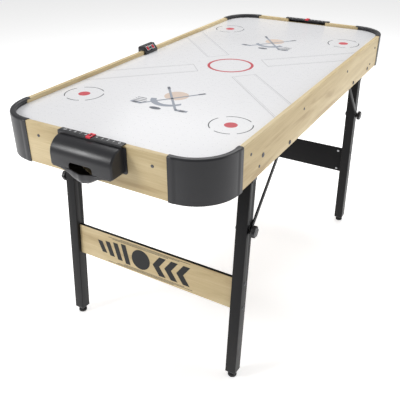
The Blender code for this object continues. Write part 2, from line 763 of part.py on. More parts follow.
def build_brace(name, sx, sy, looks):
    """A flat bar from the rail bolt down to the lock bolt, its wider lower end an open hook."""
    start = Vector((BRACE_X, BRACE_Z))
    end = Vector((LOCK_X, LOCK_Z))
    along = (end - start).normalized()
    heading = degrees(atan2(along.y, along.x))
    reach = 180 - degrees(asin(BRACE_HALF_WIDTH / BRACE_HOOK_RADIUS))
    outline = arc(start, BRACE_HALF_WIDTH, heading + 90, heading + 270, 8)
    outline += arc(end, BRACE_HOOK_RADIUS, heading - reach, heading + reach, 14)
    span = sorted((sy * BRACE_INNER_Y, sy * BRACE_OUTER_Y))

    def mirrored(points):
        return [(sx * x, z) for x, z in points]

    brace = prism(f"brace_{name}", mirrored(outline), "Y", *span, looks["legs"], radians(30))
    boolean(brace, pin_hole(f"cut_brace_pivot_{name}", sx * BRACE_X, BRACE_Z))
    # The slot leaves the bolt towards the upper side and a little back along the bar.
    upper = Vector((-along.y, along.x))
    leave = upper * cos(HOOK_SLANT) - along * sin(HOOK_SLANT)
    slot_heading = degrees(atan2(leave.y, leave.x))
    slot = arc(end, HOOK_SLOT_WIDTH / 2, slot_heading + 90, slot_heading + 270, 8)
    slot += [tuple(Vector(slot[-1]) + leave * 0.02), tuple(Vector(slot[0]) + leave * 0.02)]
    boolean(brace, prism(f"cut_brace_hook_{name}", mirrored(slot), "Y", span[0] - 0.01, span[1] + 0.01))
    set_origin(brace, (sx * BRACE_X, sy * (BRACE_INNER_Y + BRACE_OUTER_Y) / 2, BRACE_Z))


def build_brace_bolt(name, sx, sy, looks):
    head = RAIL_OUT_Y + GAP
    profile = [
        (PIN_RADIUS, BRACE_INNER_Y),
        (PIN_RADIUS, head),
        (0.0070, head),
        (0.0064, head + 0.0018),
        (0.0040, head + 0.0028),
    ]
    centre = (sx * BRACE_X, 0, BRACE_Z)
    turned(f"brace_bolt_{name}", [(r, sy * y) for r, y in profile], centre, "Y", looks["steel"], segments=16)


def build_lock(name, sx, sy, looks):
    """The lobed locking knob and the bolt that it screws on to, through the leg and the brace's hook."""
    centre = (sx * PIVOT_X, 0, LOCK_UPRIGHT_Z)
    head = LEG_IN_Y - GAP
    bolt = [
        (0.0060, head - 0.0070),
        (0.0090, head - 0.0045),
        (0.0090, head),
        (PIN_RADIUS, head),
        (PIN_RADIUS, KNOB_END_Y - 0.006),
    ]
    turned(f"knob_bolt_{name}", [(r, sy * y) for r, y in bolt], centre, "Y", looks["steel"], segments=16)
    profile = [
        (KNOB_STEM_RADIUS, BRACE_OUTER_Y + GAP),
        (KNOB_STEM_RADIUS, KNOB_HEAD_Y),
        (KNOB_RADIUS - 0.0015, KNOB_HEAD_Y + 0.0002),
        (KNOB_RADIUS, KNOB_HEAD_Y + 0.0017),
        (KNOB_RADIUS, KNOB_END_Y - 0.0025),
        (KNOB_RADIUS - 0.0012, KNOB_END_Y - 0.0008),
        (0.0110, KNOB_END_Y),
    ]
    profile = [(r, sy * y) for r, y in profile]
    knob = turned(
        f"lock_knob_{name}", profile, centre, "Y", looks["plastic"], segments=36, waves=6, wave=0.06
    )
    low, high = sorted((sy * 0.3, sy * (KNOB_END_Y - 0.0045)))
    boolean(knob, pin_hole(f"cut_knob_{name}", centre[0], centre[2], low=low, high=high))


def lean_out(end, sx, pieces):
    """Hangs the upright pieces of a leg frame on an empty at their pivot and leans their feet outwards."""
    hinge = bpy.data.objects.new(f"{end}_leg_frame", None)
    bpy.context.scene.collection.objects.link(hinge)
    hinge.location = (sx * PIVOT_X, 0, PIVOT_Z)
    bpy.context.view_layer.update()
    for piece in pieces:
        piece.parent = hinge
        piece.matrix_parent_inverse = hinge.matrix_world.inverted()
    hinge.rotation_euler = (0, -sx * LEG_LEAN, 0)


def build_crossbar(end, sx, looks):
    x = sx * PIVOT_X
    half = LEG_IN_Y - GAP
    low = (x - CROSSBAR_THICKNESS / 2, -half, CROSSBAR_LOW)
    high = (x + CROSSBAR_THICKNESS / 2, half, CROSSBAR_HIGH)
    box(f"crossbar_{end}", low, high, looks["wood"], bevel=0.0008)


def build_leg_frames(looks):
    for end, sx in (("near", -1), ("far", 1)):
        studs = []
        for side, sy in (("left", 1), ("right", -1)):
            name = f"{end}_{side}"
            build_bracket(name, sx, sy, looks)
            build_brace(name, sx, sy, looks)
            build_brace_bolt(name, sx, sy, looks)
            studs.append(build_foot(name, sx, sy, looks))
        build_pivot_rod(end, sx, looks)
        fixed = set(bpy.data.objects) - set(studs)
        for side, sy in (("left", 1), ("right", -1)):
            name = f"{end}_{side}"
            build_leg(name, sx, sy, looks)
            build_foot_plug(name, sx, sy, looks)
            build_lock(name, sx, sy, looks)
        build_crossbar(end, sx, looks)
        lean_out(end, sx, [obj for obj in bpy.data.objects if obj not in fixed])


def main():
    clear_scene()
    looks = {
        "wood": material("maple_print", (0.67, 0.52, 0.29), 0.45),
        "plastic": material("charcoal_plastic", (0.06, 0.06, 0.065), 0.42),
        "surface": material("playing_laminate", (0.80, 0.80, 0.82), 0.22),
        "board": material("fibreboard", (0.30, 0.20, 0.12), 0.8),
        "legs": material("black_powder_coat", (0.025, 0.025, 0.028), 0.5),
        "steel": material("zinc_steel", (0.55, 0.55, 0.57), 0.35, 1.0),
        "rubber": material("black_rubber", (0.02, 0.02, 0.02), 0.8),
        "red": material("red_plastic", (0.75, 0.02, 0.05), 0.4),
        "lens": material("scorer_lens", (0.01, 0.01, 0.012), 0.12),
        "button": material("grey_plastic", (0.25, 0.25, 0.26), 0.5),
    }
    build_rails(looks)
    build_caps(looks)
    build_boards(looks)
    build_goals(looks)
    build_scorer(looks)
    build_blower(looks)
    build_power(looks)
    build_leg_frames(looks)


main()
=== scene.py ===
"""The finished look of the folding air hockey table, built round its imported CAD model."""

import json
from math import cos, exp, hypot, pi, radians, sin, tau

import bmesh
import bpy
from mathutils import Matrix, Vector

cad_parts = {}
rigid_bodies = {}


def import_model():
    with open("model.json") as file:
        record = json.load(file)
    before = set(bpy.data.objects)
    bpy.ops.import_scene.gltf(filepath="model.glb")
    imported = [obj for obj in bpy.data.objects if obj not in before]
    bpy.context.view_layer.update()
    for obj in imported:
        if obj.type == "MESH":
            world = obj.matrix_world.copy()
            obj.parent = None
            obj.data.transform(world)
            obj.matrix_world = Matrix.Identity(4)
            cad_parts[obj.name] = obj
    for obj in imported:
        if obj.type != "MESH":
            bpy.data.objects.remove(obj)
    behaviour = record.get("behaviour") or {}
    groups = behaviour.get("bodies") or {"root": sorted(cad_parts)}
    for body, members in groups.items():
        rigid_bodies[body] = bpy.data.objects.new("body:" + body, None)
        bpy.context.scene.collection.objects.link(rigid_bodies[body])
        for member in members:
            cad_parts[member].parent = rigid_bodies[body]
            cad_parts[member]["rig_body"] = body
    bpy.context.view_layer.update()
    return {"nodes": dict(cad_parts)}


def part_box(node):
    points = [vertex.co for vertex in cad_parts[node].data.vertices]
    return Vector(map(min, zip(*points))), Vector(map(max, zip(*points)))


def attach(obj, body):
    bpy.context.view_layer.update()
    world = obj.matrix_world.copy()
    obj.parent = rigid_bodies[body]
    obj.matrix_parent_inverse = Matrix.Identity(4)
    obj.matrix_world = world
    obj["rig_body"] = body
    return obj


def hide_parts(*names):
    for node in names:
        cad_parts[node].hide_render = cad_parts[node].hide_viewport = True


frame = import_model()

ENDS = (("near", -1), ("far", 1))
SIDES = (("left", 1), ("right", -1))
CORNERS = [(f"{end}_{side}", end, sx, sy) for end, sx in ENDS for side, sy in SIDES]

# Places read from the frame.
SURFACE_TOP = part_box("playing_surface")[1].z
SURFACE_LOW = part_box("playing_surface")[0].z
FIELD_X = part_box("playing_surface")[1].x
FIELD_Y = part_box("playing_surface")[1].y
RAIL_LOW, RAIL_TOP = (corner.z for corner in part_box("side_rail_left"))
RAIL_IN_Y, RAIL_OUT_Y = (corner.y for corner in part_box("side_rail_left"))
RAIL_IN_X, RAIL_OUT_X = (corner.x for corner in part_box("end_rail_far"))
CAP_INNER, CAP_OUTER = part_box("corner_cap_far_left")
CAP_X, CAP_Y = CAP_OUTER.x, CAP_OUTER.y
CAP_LOW, CAP_TOP = CAP_INNER.z, CAP_OUTER.z
LEG_IN_Y, LEG_OUT_Y = (corner.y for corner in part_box("leg_far_left"))
LEG_Y = (LEG_IN_Y + LEG_OUT_Y) / 2
PIVOT_X = sum(corner.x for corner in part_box("pivot_rod_far")) / 2
PIVOT_Z = sum(corner.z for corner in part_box("pivot_rod_far")) / 2
FOOT_X = sum(corner.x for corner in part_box("levelling_foot_far_left")) / 2
BRACE_BOLT_X = sum(corner.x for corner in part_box("brace_bolt_far_left")) / 2
BRACE_BOLT_Z = sum(corner.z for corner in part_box("brace_bolt_far_left")) / 2

CAP_RADIUS = 0.125
CAP_WALL = 0.0025
CAP_RIM_INWARD = 0.002
CAP_BAND_STEP = 0.0011
ARC_X = CAP_X - CAP_RADIUS
ARC_Y = CAP_Y - CAP_RADIUS
GAP = 0.0003
INK = 0.0001  # thickness of printed marks

# The leg frames are drawn upright, in line with their pivots, and then lean their feet outwards.
LEAN = radians(4.48)
LEG_HALF_DEPTH = 0.019
LEG_HALF_WIDTH = 0.018
LEG_BOTTOM = 0.0245
LOCK_Z = PIVOT_Z - 0.1675
CROSSBAR_LOW = 0.2636
CROSSBAR_HIGH = 0.377
CROSSBAR_HALF_DEPTH = 0.006


# -------- materials


class Look:
    """A material under construction: its shader and short ways to add nodes and links."""

    def __init__(self, name, colour, roughness, metallic=0.0, specular=0.5):
        self.material = bpy.data.materials.new(name)
        self.material.use_nodes = True
        self.nodes = self.material.node_tree.nodes
        self.links = self.material.node_tree.links
        self.shader = self.nodes["Principled BSDF"]
        self.set("Base Color", (*colour, 1.0))
        self.set("Roughness", roughness)
        self.set("Metallic", metallic)
        self.set("Specular IOR Level", specular)

    def set(self, socket, value):
        self.shader.inputs[socket].default_value = value

    def node(self, kind, inputs=None, **settings):
        made = self.nodes.new(kind)
        for key, value in settings.items():
            setattr(made, key, value)
        for key, value in (inputs or {}).items():
            if isinstance(value, bpy.types.NodeSocket):
                self.links.new(value, made.inputs[key])
            else:
                made.inputs[key].default_value = value
        return made

    def place(self, scale=(1.0, 1.0, 1.0), turn=(0.0, 0.0, 0.0)):
        where = self.node("ShaderNodeTexCoord").outputs["Object"]
        return self.node(
            "ShaderNodeMapping", {"Vector": where, "Scale": scale, "Rotation": turn}
        ).outputs["Vector"]

    def noise(self, vector, scale, detail=4.0, roughness=0.5, distortion=0.0):
        inputs = {"Vector": vector, "Scale": scale, "Detail": detail}
        inputs.update({"Roughness": roughness, "Distortion": distortion})
        return self.node("ShaderNodeTexNoise", inputs).outputs["Fac"]

    def ramp(self, value, *stops):
        made = self.node("ShaderNodeValToRGB", {"Fac": value})
        elements = made.color_ramp.elements
        while len(elements) < len(stops):
            elements.new(0.5)
        for element, (position, colour) in zip(elements, stops):
            element.position = position
            element.color = (*colour, 1.0)
        return made.outputs["Color"]

    def mix(self, share, first, second, blend="MIX"):
        made = self.node("ShaderNodeMix", data_type="RGBA", blend_type=blend)
        for socket, value in ((0, share), (6, first), (7, second)):
            if isinstance(value, bpy.types.NodeSocket):
                self.links.new(value, made.inputs[socket])
            elif socket == 0:
                made.inputs[0].default_value = value
            else:
                made.inputs[socket].default_value = (*value, 1.0)
        return made.outputs[2]

    def span(self, value, low, high):
        """Maps a 0 to 1 value to low to high."""
        return self.node(
            "ShaderNodeMapRange", {"Value": value, "To Min": low, "To Max": high}
        ).outputs["Result"]

    def drive(self, socket, value):
        self.links.new(value, self.shader.inputs[socket])

    def uneven(self, colour, darkest, lightest, *noise):
        """Varies the base colour between two factors of it. The rest describes the noise."""
        tone = self.noise(self.place(), *noise)
        self.drive("Base Color", self.mix(tone, tinted(colour, darkest), tinted(colour, lightest)))

    def bump(self, height, distance, strength=1.0):
        made = self.node(
            "ShaderNodeBump", {"Height": height, "Distance": distance, "Strength": strength}
        )
        self.drive("Normal", made.outputs["Normal"])


def tinted(colour, factor):
    return tuple(channel * factor for channel in colour)


def maple(name, grain):
    """Printed maple foil: soft mottled figure and fine long fibres along the grain axis."""
    light, middle, dark = (0.680, 0.555, 0.330), (0.600, 0.475, 0.265), (0.470, 0.345, 0.180)
    look = Look(name, middle, 0.45, specular=0.4)
    along = {"X": (1.0, 9.0, 9.0), "Y": (9.0, 1.0, 9.0)}[grain]
    figure = look.noise(look.place(along), 2.6, 5.0, 0.55, 0.6)
    base = look.ramp(figure, (0.30, dark), (0.44, middle), (0.62, light))
    base.node.color_ramp.interpolation = "EASE"
    fibres = look.noise(look.place(tuple(v ** 2 for v in along)), 9.0, 6.0, 0.65)
    streaks = look.ramp(fibres, (0.36, (0.80, 0.76, 0.70)), (0.60, (1.0, 1.0, 1.0)))
    look.drive("Base Color", look.mix(0.55, base, streaks, "MULTIPLY"))
    look.drive("Roughness", look.span(fibres, 0.40, 0.52))
    look.bump(fibres, 0.00006, 0.35)
    return look.material


def moulded(name, colour, roughness, grain_size=1500.0, depth=0.00004, specular=0.5):
    """Fine-textured injection-moulded plastic with a slight unevenness in tone and gloss."""
    look = Look(name, colour, roughness, specular=specular)
    look.uneven(colour, 0.90, 1.12, 14.0, 3.0)
    place = look.place()
    cloud = look.noise(place, 35.0, 5.0, 0.6)
    look.drive("Roughness", look.span(cloud, roughness - 0.05, roughness + 0.07))
    look.bump(look.noise(place, grain_size, 2.0), depth, 0.5)
    return look.material


def powder_coat(name, colour, roughness=0.42):
    """Baked-on paint with a fine orange-peel surface."""
    look = Look(name, colour, roughness, specular=0.22)
    look.uneven(colour, 0.88, 1.15, 22.0, 4.0)
    place = look.place()
    look.drive("Roughness", look.span(look.noise(place, 60.0, 4.0), roughness - 0.05, roughness + 0.06))
    look.bump(look.noise(place, 700.0, 2.0), 0.00006, 0.5)
    return look.material


def zinc(name, colour=(0.46, 0.47, 0.49), roughness=0.36):
    """Plated steel with a fine spangle in its tone and gloss."""
    look = Look(name, colour, roughness, metallic=1.0)
    look.uneven(colour, 0.72, 1.18, 130.0, 5.0, 0.65)
    place = look.place()
    look.drive("Roughness", look.span(look.noise(place, 300.0, 4.0), roughness - 0.08, roughness + 0.14))
    look.bump(look.noise(place, 900.0, 3.0), 0.00003, 0.4)
    return look.material


def playing_laminate():
    """Smooth white laminate with faint cloudiness and hair-fine scuffs in its gloss."""
    colour = (0.760, 0.760, 0.775)
    look = Look("playing_laminate", colour, 0.28, specular=0.35)
    look.uneven(colour, 0.985, 1.012, 5.0, 4.0)
    scuffs = look.noise(look.place((40.0, 3.0, 1.0), (0.0, 0.0, 0.6)), 12.0, 6.0, 0.7)
    look.drive("Roughness", look.span(scuffs, 0.22, 0.36))
    look.bump(look.noise(look.place(), 240.0, 3.0), 0.00002, 0.25)
    return look.material


def fibreboard():
    look = Look("fibreboard", (0.23, 0.155, 0.09), 0.8)
    place = look.place()
    fleck = look.noise(place, 420.0, 5.0, 0.7)
    look.drive("Base Color", look.ramp(fleck, (0.30, (0.15, 0.095, 0.05)), (0.70, (0.32, 0.225, 0.135))))
    look.bump(fleck, 0.0001, 0.5)
    return look.material


def ink(name, colour, roughness=0.4):
    """Screen-printed ink with a slightly uneven lay."""
    look = Look(name, colour, roughness, specular=0.3)
    look.uneven(colour, 0.93, 1.06, 180.0, 4.0, 0.6)
    return look.material


def rubber():
    colour = (0.022, 0.022, 0.023)
    look = Look("black_rubber", colour, 0.7)
    place = look.place()
    dust = look.noise(place, 90.0, 5.0, 0.7)
    look.drive("Base Color", look.ramp(dust, (0.40, colour), (0.85, (0.07, 0.068, 0.065))))
    look.bump(look.noise(place, 1200.0, 2.0), 0.00008, 0.5)
    return look.material


def glowing(name, colour, strength):
    look = Look(name, colour, 0.35)
    look.set("Emission Color", (*colour, 1.0))
    look.set("Emission Strength", strength)
    look.uneven(colour, 0.9, 1.05, 400.0, 2.0)
    return look.material


def smoked_lens():
    look = Look("smoked_window", (0.022, 0.022, 0.026), 0.12)
    look.set("Coat Weight", 0.4)
    look.drive("Roughness", look.span(look.noise(look.place(), 90.0, 4.0), 0.10, 0.20))
    return look.material


LOOKS = {
    "wood_x": maple("maple_along_x", "X"),
    "wood_y": maple("maple_along_y", "Y"),
    "plastic": moulded("charcoal_plastic", (0.030, 0.030, 0.033), 0.30, specular=0.36),
    "black_edge": moulded("black_edge_foil", (0.006, 0.006, 0.007), 0.5, specular=0.18),
    "surface": playing_laminate(),
    "board": fibreboard(),
    "legs": powder_coat("black_powder_coat", (0.008, 0.008, 0.009)),
    "steel": zinc("zinc_steel"),
    "dark_steel": zinc("dark_zinc", (0.16, 0.16, 0.17), 0.42),
    "rubber": rubber(),
    "red": moulded("red_plastic", (0.74, 0.018, 0.045), 0.34, 1800.0, 0.00002),
    "lens": smoked_lens(),
    "button": moulded("grey_plastic", (0.12, 0.12, 0.125), 0.5),
    "red_ink": ink("red_ink", (0.560, 0.080, 0.100)),
    "ring_ink": ink("ring_red_ink", (0.500, 0.060, 0.080)),
    "dark_ink": ink("slate_ink", (0.045, 0.052, 0.066)),
    "line_ink": ink("pale_line_ink", (0.500, 0.500, 0.515)),
    "blue_ink": ink("grey_blue_ink", (0.300, 0.325, 0.375)),
    "peach_ink": ink("peach_ink", (0.640, 0.520, 0.440)),
    "shade_ink": ink("grey_shade_ink", (0.140, 0.150, 0.175)),
    "black_ink": ink("black_ink", (0.014, 0.014, 0.015)),
    "white_ink": ink("white_ink", (0.780, 0.780, 0.790)),
    # The air holes' grey is painted shade: the dark inside each hole, laid on flat discs.
    "hole": ink("air_hole_painted_shade", (0.300, 0.300, 0.310), 0.8),
    "digit": glowing("lit_red_digit", (0.85, 0.03, 0.06), 0.6),
}

# The CAD slot of each look that isn't one itself.
SLOTS = {look: "wood" for look in ("wood_x", "wood_y", "black_edge", "black_ink")}
FIELD_INKS = ("red", "ring", "dark", "line", "blue", "peach", "shade")
SLOTS.update({f"{colour}_ink": "surface" for colour in FIELD_INKS})
SLOTS.update({"hole": "surface", "dark_steel": "steel", "white_ink": "plastic", "digit": "lens"})


# -------- shapes


AXES = {
    "X": lambda u, v, w: (w, u, v),
    "Y": lambda u, v, w: (u, w, v),
    "Z": lambda u, v, w: (u, v, w),
}


def as_object(name, shape, sharp=35.0):
    bmesh.ops.recalc_face_normals(shape, faces=shape.faces)
    if shape.calc_volume(signed=True) < 0:
        bmesh.ops.reverse_faces(shape, faces=shape.faces)
    mesh = bpy.data.meshes.new(name)
    shape.to_mesh(mesh)
    shape.free()
    mesh.shade_smooth()
    mesh.set_sharp_from_angle(angle=radians(sharp))
    obj = bpy.data.objects.new(name, mesh)
    bpy.context.scene.collection.objects.link(obj)
    return obj


def finished(obj, look, body, replaces=()):
    """Gives a piece its material and its body, and hides the CAD nodes that it stands for."""
    obj.data.materials.clear()
    obj.data.materials.append(LOOKS[look])
    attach(obj, body)
    if replaces:
        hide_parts(*replaces)
    return obj


def arc(centre, radius, start, end, steps):
    points = []
    for i in range(steps + 1):
        angle = radians(start + (end - start) * i / steps)
        points.append((centre[0] + radius * cos(angle), centre[1] + radius * sin(angle)))
    return points


def rounded_rectangle(half_x, half_y, radius, steps=6, centre=(0.0, 0.0)):
    outline = []
    for quarter, (sx, sy) in enumerate(((1, 1), (-1, 1), (-1, -1), (1, -1))):
        corner = (centre[0] + sx * (half_x - radius), centre[1] + sy * (half_y - radius))
        outline += arc(corner, radius, 90 * quarter, 90 * quarter + 90, steps)
    return outline


def add_loft(shape, loops):
    """Adds a closed body through loops of points, all with the same number of points."""
    rows = [[shape.verts.new(point) for point in loop] for loop in loops]
    count = len(rows[0])
    for lower, upper in zip(rows, rows[1:]):
        for i in range(count):
            j = (i + 1) % count
            shape.faces.new((lower[i], lower[j], upper[j], upper[i]))
    shape.faces.new(rows[0][::-1])
    shape.faces.new(rows[-1])


def loft(name, loops, sharp=35.0):
    shape = bmesh.new()
    add_loft(shape, loops)
    return as_object(name, shape, sharp)


def prism(name, outline, axis, low, high, sharp=35.0):
    place = AXES[axis]
    return loft(name, [[place(u, v, w) for u, v in outline] for w in (low, high)], sharp)


def eased_prism(name, outline_at, axis, low, high, edge, steps=3, sharp=35.0):
    """A prism with rounded end edges. outline_at(inset) gives the outline drawn in by inset."""
    place = AXES[axis]
    loops = []
    for side, at in ((-1, low), (1, high)):
        turns = range(steps + 1) if side < 0 else range(steps, -1, -1)
        for t in turns:
            angle = pi / 2 * t / steps
            inset = edge * (1 - sin(angle))
            w = at - side * edge * (1 - cos(angle))
            loops.append([place(u, v, w) for u, v in outline_at(inset)])
    return loft(name, loops, sharp)


def turned(name, profile, centre, axis, segments=40, sharp=35.0):
    place = AXES[axis]
    loops = []
    for radius, height in profile:
        ring = [(radius * cos(tau * i / segments), radius * sin(tau * i / segments)) for i in range(segments)]
        loops.append([Vector(centre) + Vector(place(u, v, height)) for u, v in ring])
    return loft(name, loops, sharp)


def box(name, low, high, edge=0.0, segments=2):
    shape = bmesh.new()
    bmesh.ops.create_cube(shape, size=1.0)
    size, middle = Vector(high) - Vector(low), (Vector(high) + Vector(low)) / 2
    matrix = Matrix.Translation(middle) @ Matrix.Diagonal((*size, 1.0))
    bmesh.ops.transform(shape, matrix=matrix, verts=shape.verts)
    if edge:
        bmesh.ops.bevel(
            shape, geom=shape.edges[:], offset=edge, segments=segments, profile=0.5, affect="EDGES"
        )
    return as_object(name, shape)


def settle(obj):
    """Applies an object's modifiers to its mesh."""
    graph = bpy.context.evaluated_depsgraph_get()
    mesh = bpy.data.meshes.new_from_object(obj.evaluated_get(graph))
    obj.modifiers.clear()
    obj.data = mesh
    return obj


def boolean(obj, tool, operation="DIFFERENCE", sharp=35.0):
    step = obj.modifiers.new("cut", "BOOLEAN")
    step.operation = operation
    step.solver = "EXACT"
    step.object = tool
    bpy.context.view_layer.update()
    settle(obj)
    bpy.data.objects.remove(tool, do_unlink=True)
    obj.data.shade_smooth()
    obj.data.set_sharp_from_angle(angle=radians(sharp))
    return obj


def softened(node, look, width, segments=2, angle=30.0):
    """A copy of a CAD node with rounded edges, standing for it."""
    source = frame["nodes"][node]
    shape = bmesh.new()
    shape.from_mesh(source.data)
    bmesh.ops.remove_doubles(shape, verts=shape.verts, dist=1e-6)
    bmesh.ops.dissolve_limit(
        shape, angle_limit=radians(1.0), verts=shape.verts, edges=shape.edges, use_dissolve_boundaries=False
    )
    obj = as_object(f"{node}_finish", shape)
    step = obj.modifiers.new("edges", "BEVEL")
    step.width = width
    step.segments = segments
    step.limit_method = "ANGLE"
    step.angle_limit = radians(angle)
    step.use_clamp_overlap = True
    settle(obj)
    obj.data.shade_smooth()
    obj.data.set_sharp_from_angle(angle=radians(40))
    return finished(obj, look, source["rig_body"], [node])


# -------- cabinet


def build_rails():
    for side, sy in SIDES:
        low_y, high_y = sorted((sy * RAIL_IN_Y, sy * RAIL_OUT_Y))
        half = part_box(f"side_rail_{side}")[1].x
        rail = box(f"side_rail_{side}_board", (-half, low_y, RAIL_LOW), (half, high_y, RAIL_TOP), 0.0016, 3)
        finished(rail, "wood_x", "cabinet", [f"side_rail_{side}"])
    for end, _ in ENDS:
        softened(f"end_rail_{end}", "wood_y", 0.0014, 3)


def cap_profile(inset, lip):
    """(distance out, height) round the cap's wall. A lip lies over a rail's end, so it has no inner wall.
    Both kinds have the same number of points."""
    depth = CAP_X - RAIL_IN_X
    inner, rim = -depth, -depth - CAP_RIM_INWARD
    under = RAIL_TOP + GAP
    face = -inset
    points = [(face, CAP_LOW)]
    points += [(face + x, z) for x, z in arc((-0.006, CAP_TOP - 0.006), 0.006, 0, 90, 7)]
    points += arc((rim + 0.004, CAP_TOP - 0.004), 0.004, 90, 180, 6)
    if lip:
        inside = -(CAP_X - RAIL_OUT_X - GAP * 0.7)
        points += [(rim, under), (inner, under), (inner + 0.0005, under), (inner + 0.001, under)]
        points += [(inner + CAP_WALL, under), (inside, under), (inside, CAP_LOW)]
    else:
        points += [(rim, CAP_TOP - 0.0068), (inner, CAP_TOP - 0.0085), (inner, SURFACE_LOW)]
        points += [(inner + CAP_WALL, SURFACE_LOW), (inner + CAP_WALL, CAP_TOP - 0.0045)]
        points += [(face - CAP_WALL, CAP_TOP - 0.0045), (face - CAP_WALL, CAP_LOW)]
    return points


def build_caps():
    """Corner caps: a plain band over each rail's end, and between them the curved wall, set in a little."""
    steps = 28
    band_end = 3.0
    soft = 0.9
    inner_angle = 90.0 - 2 * band_end - 2 * soft
    end_inset, end_run = 0.0004, 0.0005
    turn = (ARC_X, ARC_Y)
    # Each station is (centre, angle, inset, whether it is part of a lip).
    stations = [((CAP_INNER.x, ARC_Y), 90.0, end_inset, True)]
    stations += [((CAP_INNER.x + end_run, ARC_Y), 90.0, 0.0, True)]
    stations += [(turn, 90.0, 0.0, True), (turn, 90.0, 0.0, False), (turn, 90.0 - band_end, 0.0, False)]
    for i in range(steps + 1):
        angle = 90.0 - band_end - soft - inner_angle * i / steps
        stations.append((turn, angle, CAP_BAND_STEP, False))
    stations += [(turn, band_end, 0.0, False), (turn, 0.0, 0.0, False), (turn, 0.0, 0.0, True)]
    stations += [((ARC_X, CAP_INNER.y + end_run), 0.0, 0.0, True)]
    stations += [((ARC_X, CAP_INNER.y), 0.0, end_inset, True)]
    for name, _, sx, sy in CORNERS:
        loops = []
        for (cx, cy), angle, inset, lip in stations:
            ux, uy = cos(radians(angle)), sin(radians(angle))
            loop = []
            for out, z in cap_profile(inset, lip):
                radius = CAP_RADIUS + out
                loop.append((sx * (cx + radius * ux), sy * (cy + radius * uy), z))
            loops.append(loop)
        cap = loft(f"corner_cap_{name}_moulding", loops, 32.0)
        finished(cap, "plastic", "cabinet", [f"corner_cap_{name}"])


def build_surface():
    corner = CAP_RADIUS - (CAP_X - RAIL_IN_X) - GAP

    def outline(inset):
        return rounded_rectangle(FIELD_X - inset, FIELD_Y - inset, corner - inset, 24)

    field = eased_prism("playing_field", outline, "Z", SURFACE_LOW, SURFACE_TOP, 0.0004, 2)
    finished(field, "surface", "cabinet", ["playing_surface"])
    build_air_holes(corner)


def build_air_holes(corner):
    """The grid of fine air holes, each drawn as a thin disc in painted shade: its grey stands for the shade
    inside the hole.
    """
    pitch, radius, sides, margin = 0.0254, 0.0007, 8, 0.014
    shape = bmesh.new()
    columns = int((FIELD_X - margin) / pitch)
    rows = int((FIELD_Y - margin) / pitch)
    for i in range(-columns, columns + 1):
        for j in range(-rows, rows + 1):
            x, y = i * pitch, j * pitch
            beyond_x, beyond_y = abs(x) - (FIELD_X - corner), abs(y) - (FIELD_Y - corner)
            if beyond_x > 0 and beyond_y > 0 and hypot(beyond_x, beyond_y) > corner - margin:
                continue
            matrix = Matrix.Translation((x, y, SURFACE_TOP + INK / 2 - 0.00004))
            bmesh.ops.create_cone(
                shape, cap_ends=True, segments=sides, radius1=radius, radius2=radius, depth=INK, matrix=matrix
            )
    finished(as_object("air_holes", shape), "hole", "cabinet")


# -------- prints on the field


def printed(name, outlines, look, height=0.0):
    """Flat printed shapes on the field, each a closed outline of (x, y)."""
    shape = bmesh.new()
    low = SURFACE_TOP + height + 0.00001
    for outline in outlines:
        add_loft(shape, [[(x, y, z) for x, y in outline] for z in (low, low + INK)])
    return finished(as_object(name, shape), look, "cabinet")


def band(centre, inner, outer, start, end, steps):
    """The outline of a piece of a ring."""
    return arc(centre, outer, start, end, steps) + arc(centre, inner, end, start, steps)


def stroke(first, second, width):
    """The outline of a straight line of some width."""
    a, b = Vector(first), Vector(second)
    side = Vector((-(b - a).y, (b - a).x)).normalized() * width / 2
    return [tuple(a + side), tuple(a - side), tuple(b - side), tuple(b + side)]


def full_ring(centre, inner, outer, parts=8, steps=10):
    """A whole ring as pieces that touch, because an outline can't hold a hole."""
    step = 360 / parts
    return [band(centre, inner, outer, k * step, (k + 1) * step, steps) for k in range(parts)]


def build_spots():
    spot_x, spot_y, dot, ring, line = 0.488, 0.255, 0.0186, 0.0605, 0.0030
    dots, arcs = [], []
    for sx in (-1, 1):
        for sy in (-1, 1):
            centre = (sx * spot_x, sy * spot_y)
            dots.append(arc(centre, dot, 0, 360 - 360 / 40, 39))
            for start, end in ((-40, 40), (62, 140), (160, 205), (222, 298)):
                arcs.append(band(centre, ring - line / 2, ring + line / 2, start, end, 16))
    printed("face_off_dots", dots, "red_ink")
    printed("face_off_arcs", arcs, "dark_ink")
    printed("centre_ring", full_ring((0.0, 0.0), 0.0725, 0.0820), "ring_ink")


def build_field_lines():
    """Four pale arms from the centre ring to the long rails, each drawn as a double outline."""
    strokes = []
    inner_a, outer_a = (0.052, 0.122), (0.262, 0.340)
    inner_b, outer_b = (0.116, 0.066), (0.385, 0.340)
    width = 0.0024
    for sx in (-1, 1):
        for sy in (-1, 1):

            def at(point):
                return (sx * point[0], sy * point[1])

            strokes += [
                stroke(at(inner_a), at(outer_a), width),
                stroke(at(inner_b), at(outer_b), width),
                stroke(at(inner_a), at(inner_b), width),
            ]
            a0, a1 = Vector(inner_a) + Vector((0.006, -0.002)), Vector(outer_a) + Vector((0.008, 0.0))
            b0, b1 = Vector(inner_b) + Vector((-0.002, 0.006)), Vector(outer_b) + Vector((-0.008, 0.0))
            strokes += [stroke(at(a0), at(a1), width / 2), stroke(at(b0), at(b1), width / 2)]
    printed("field_lines", strokes, "line_ink")


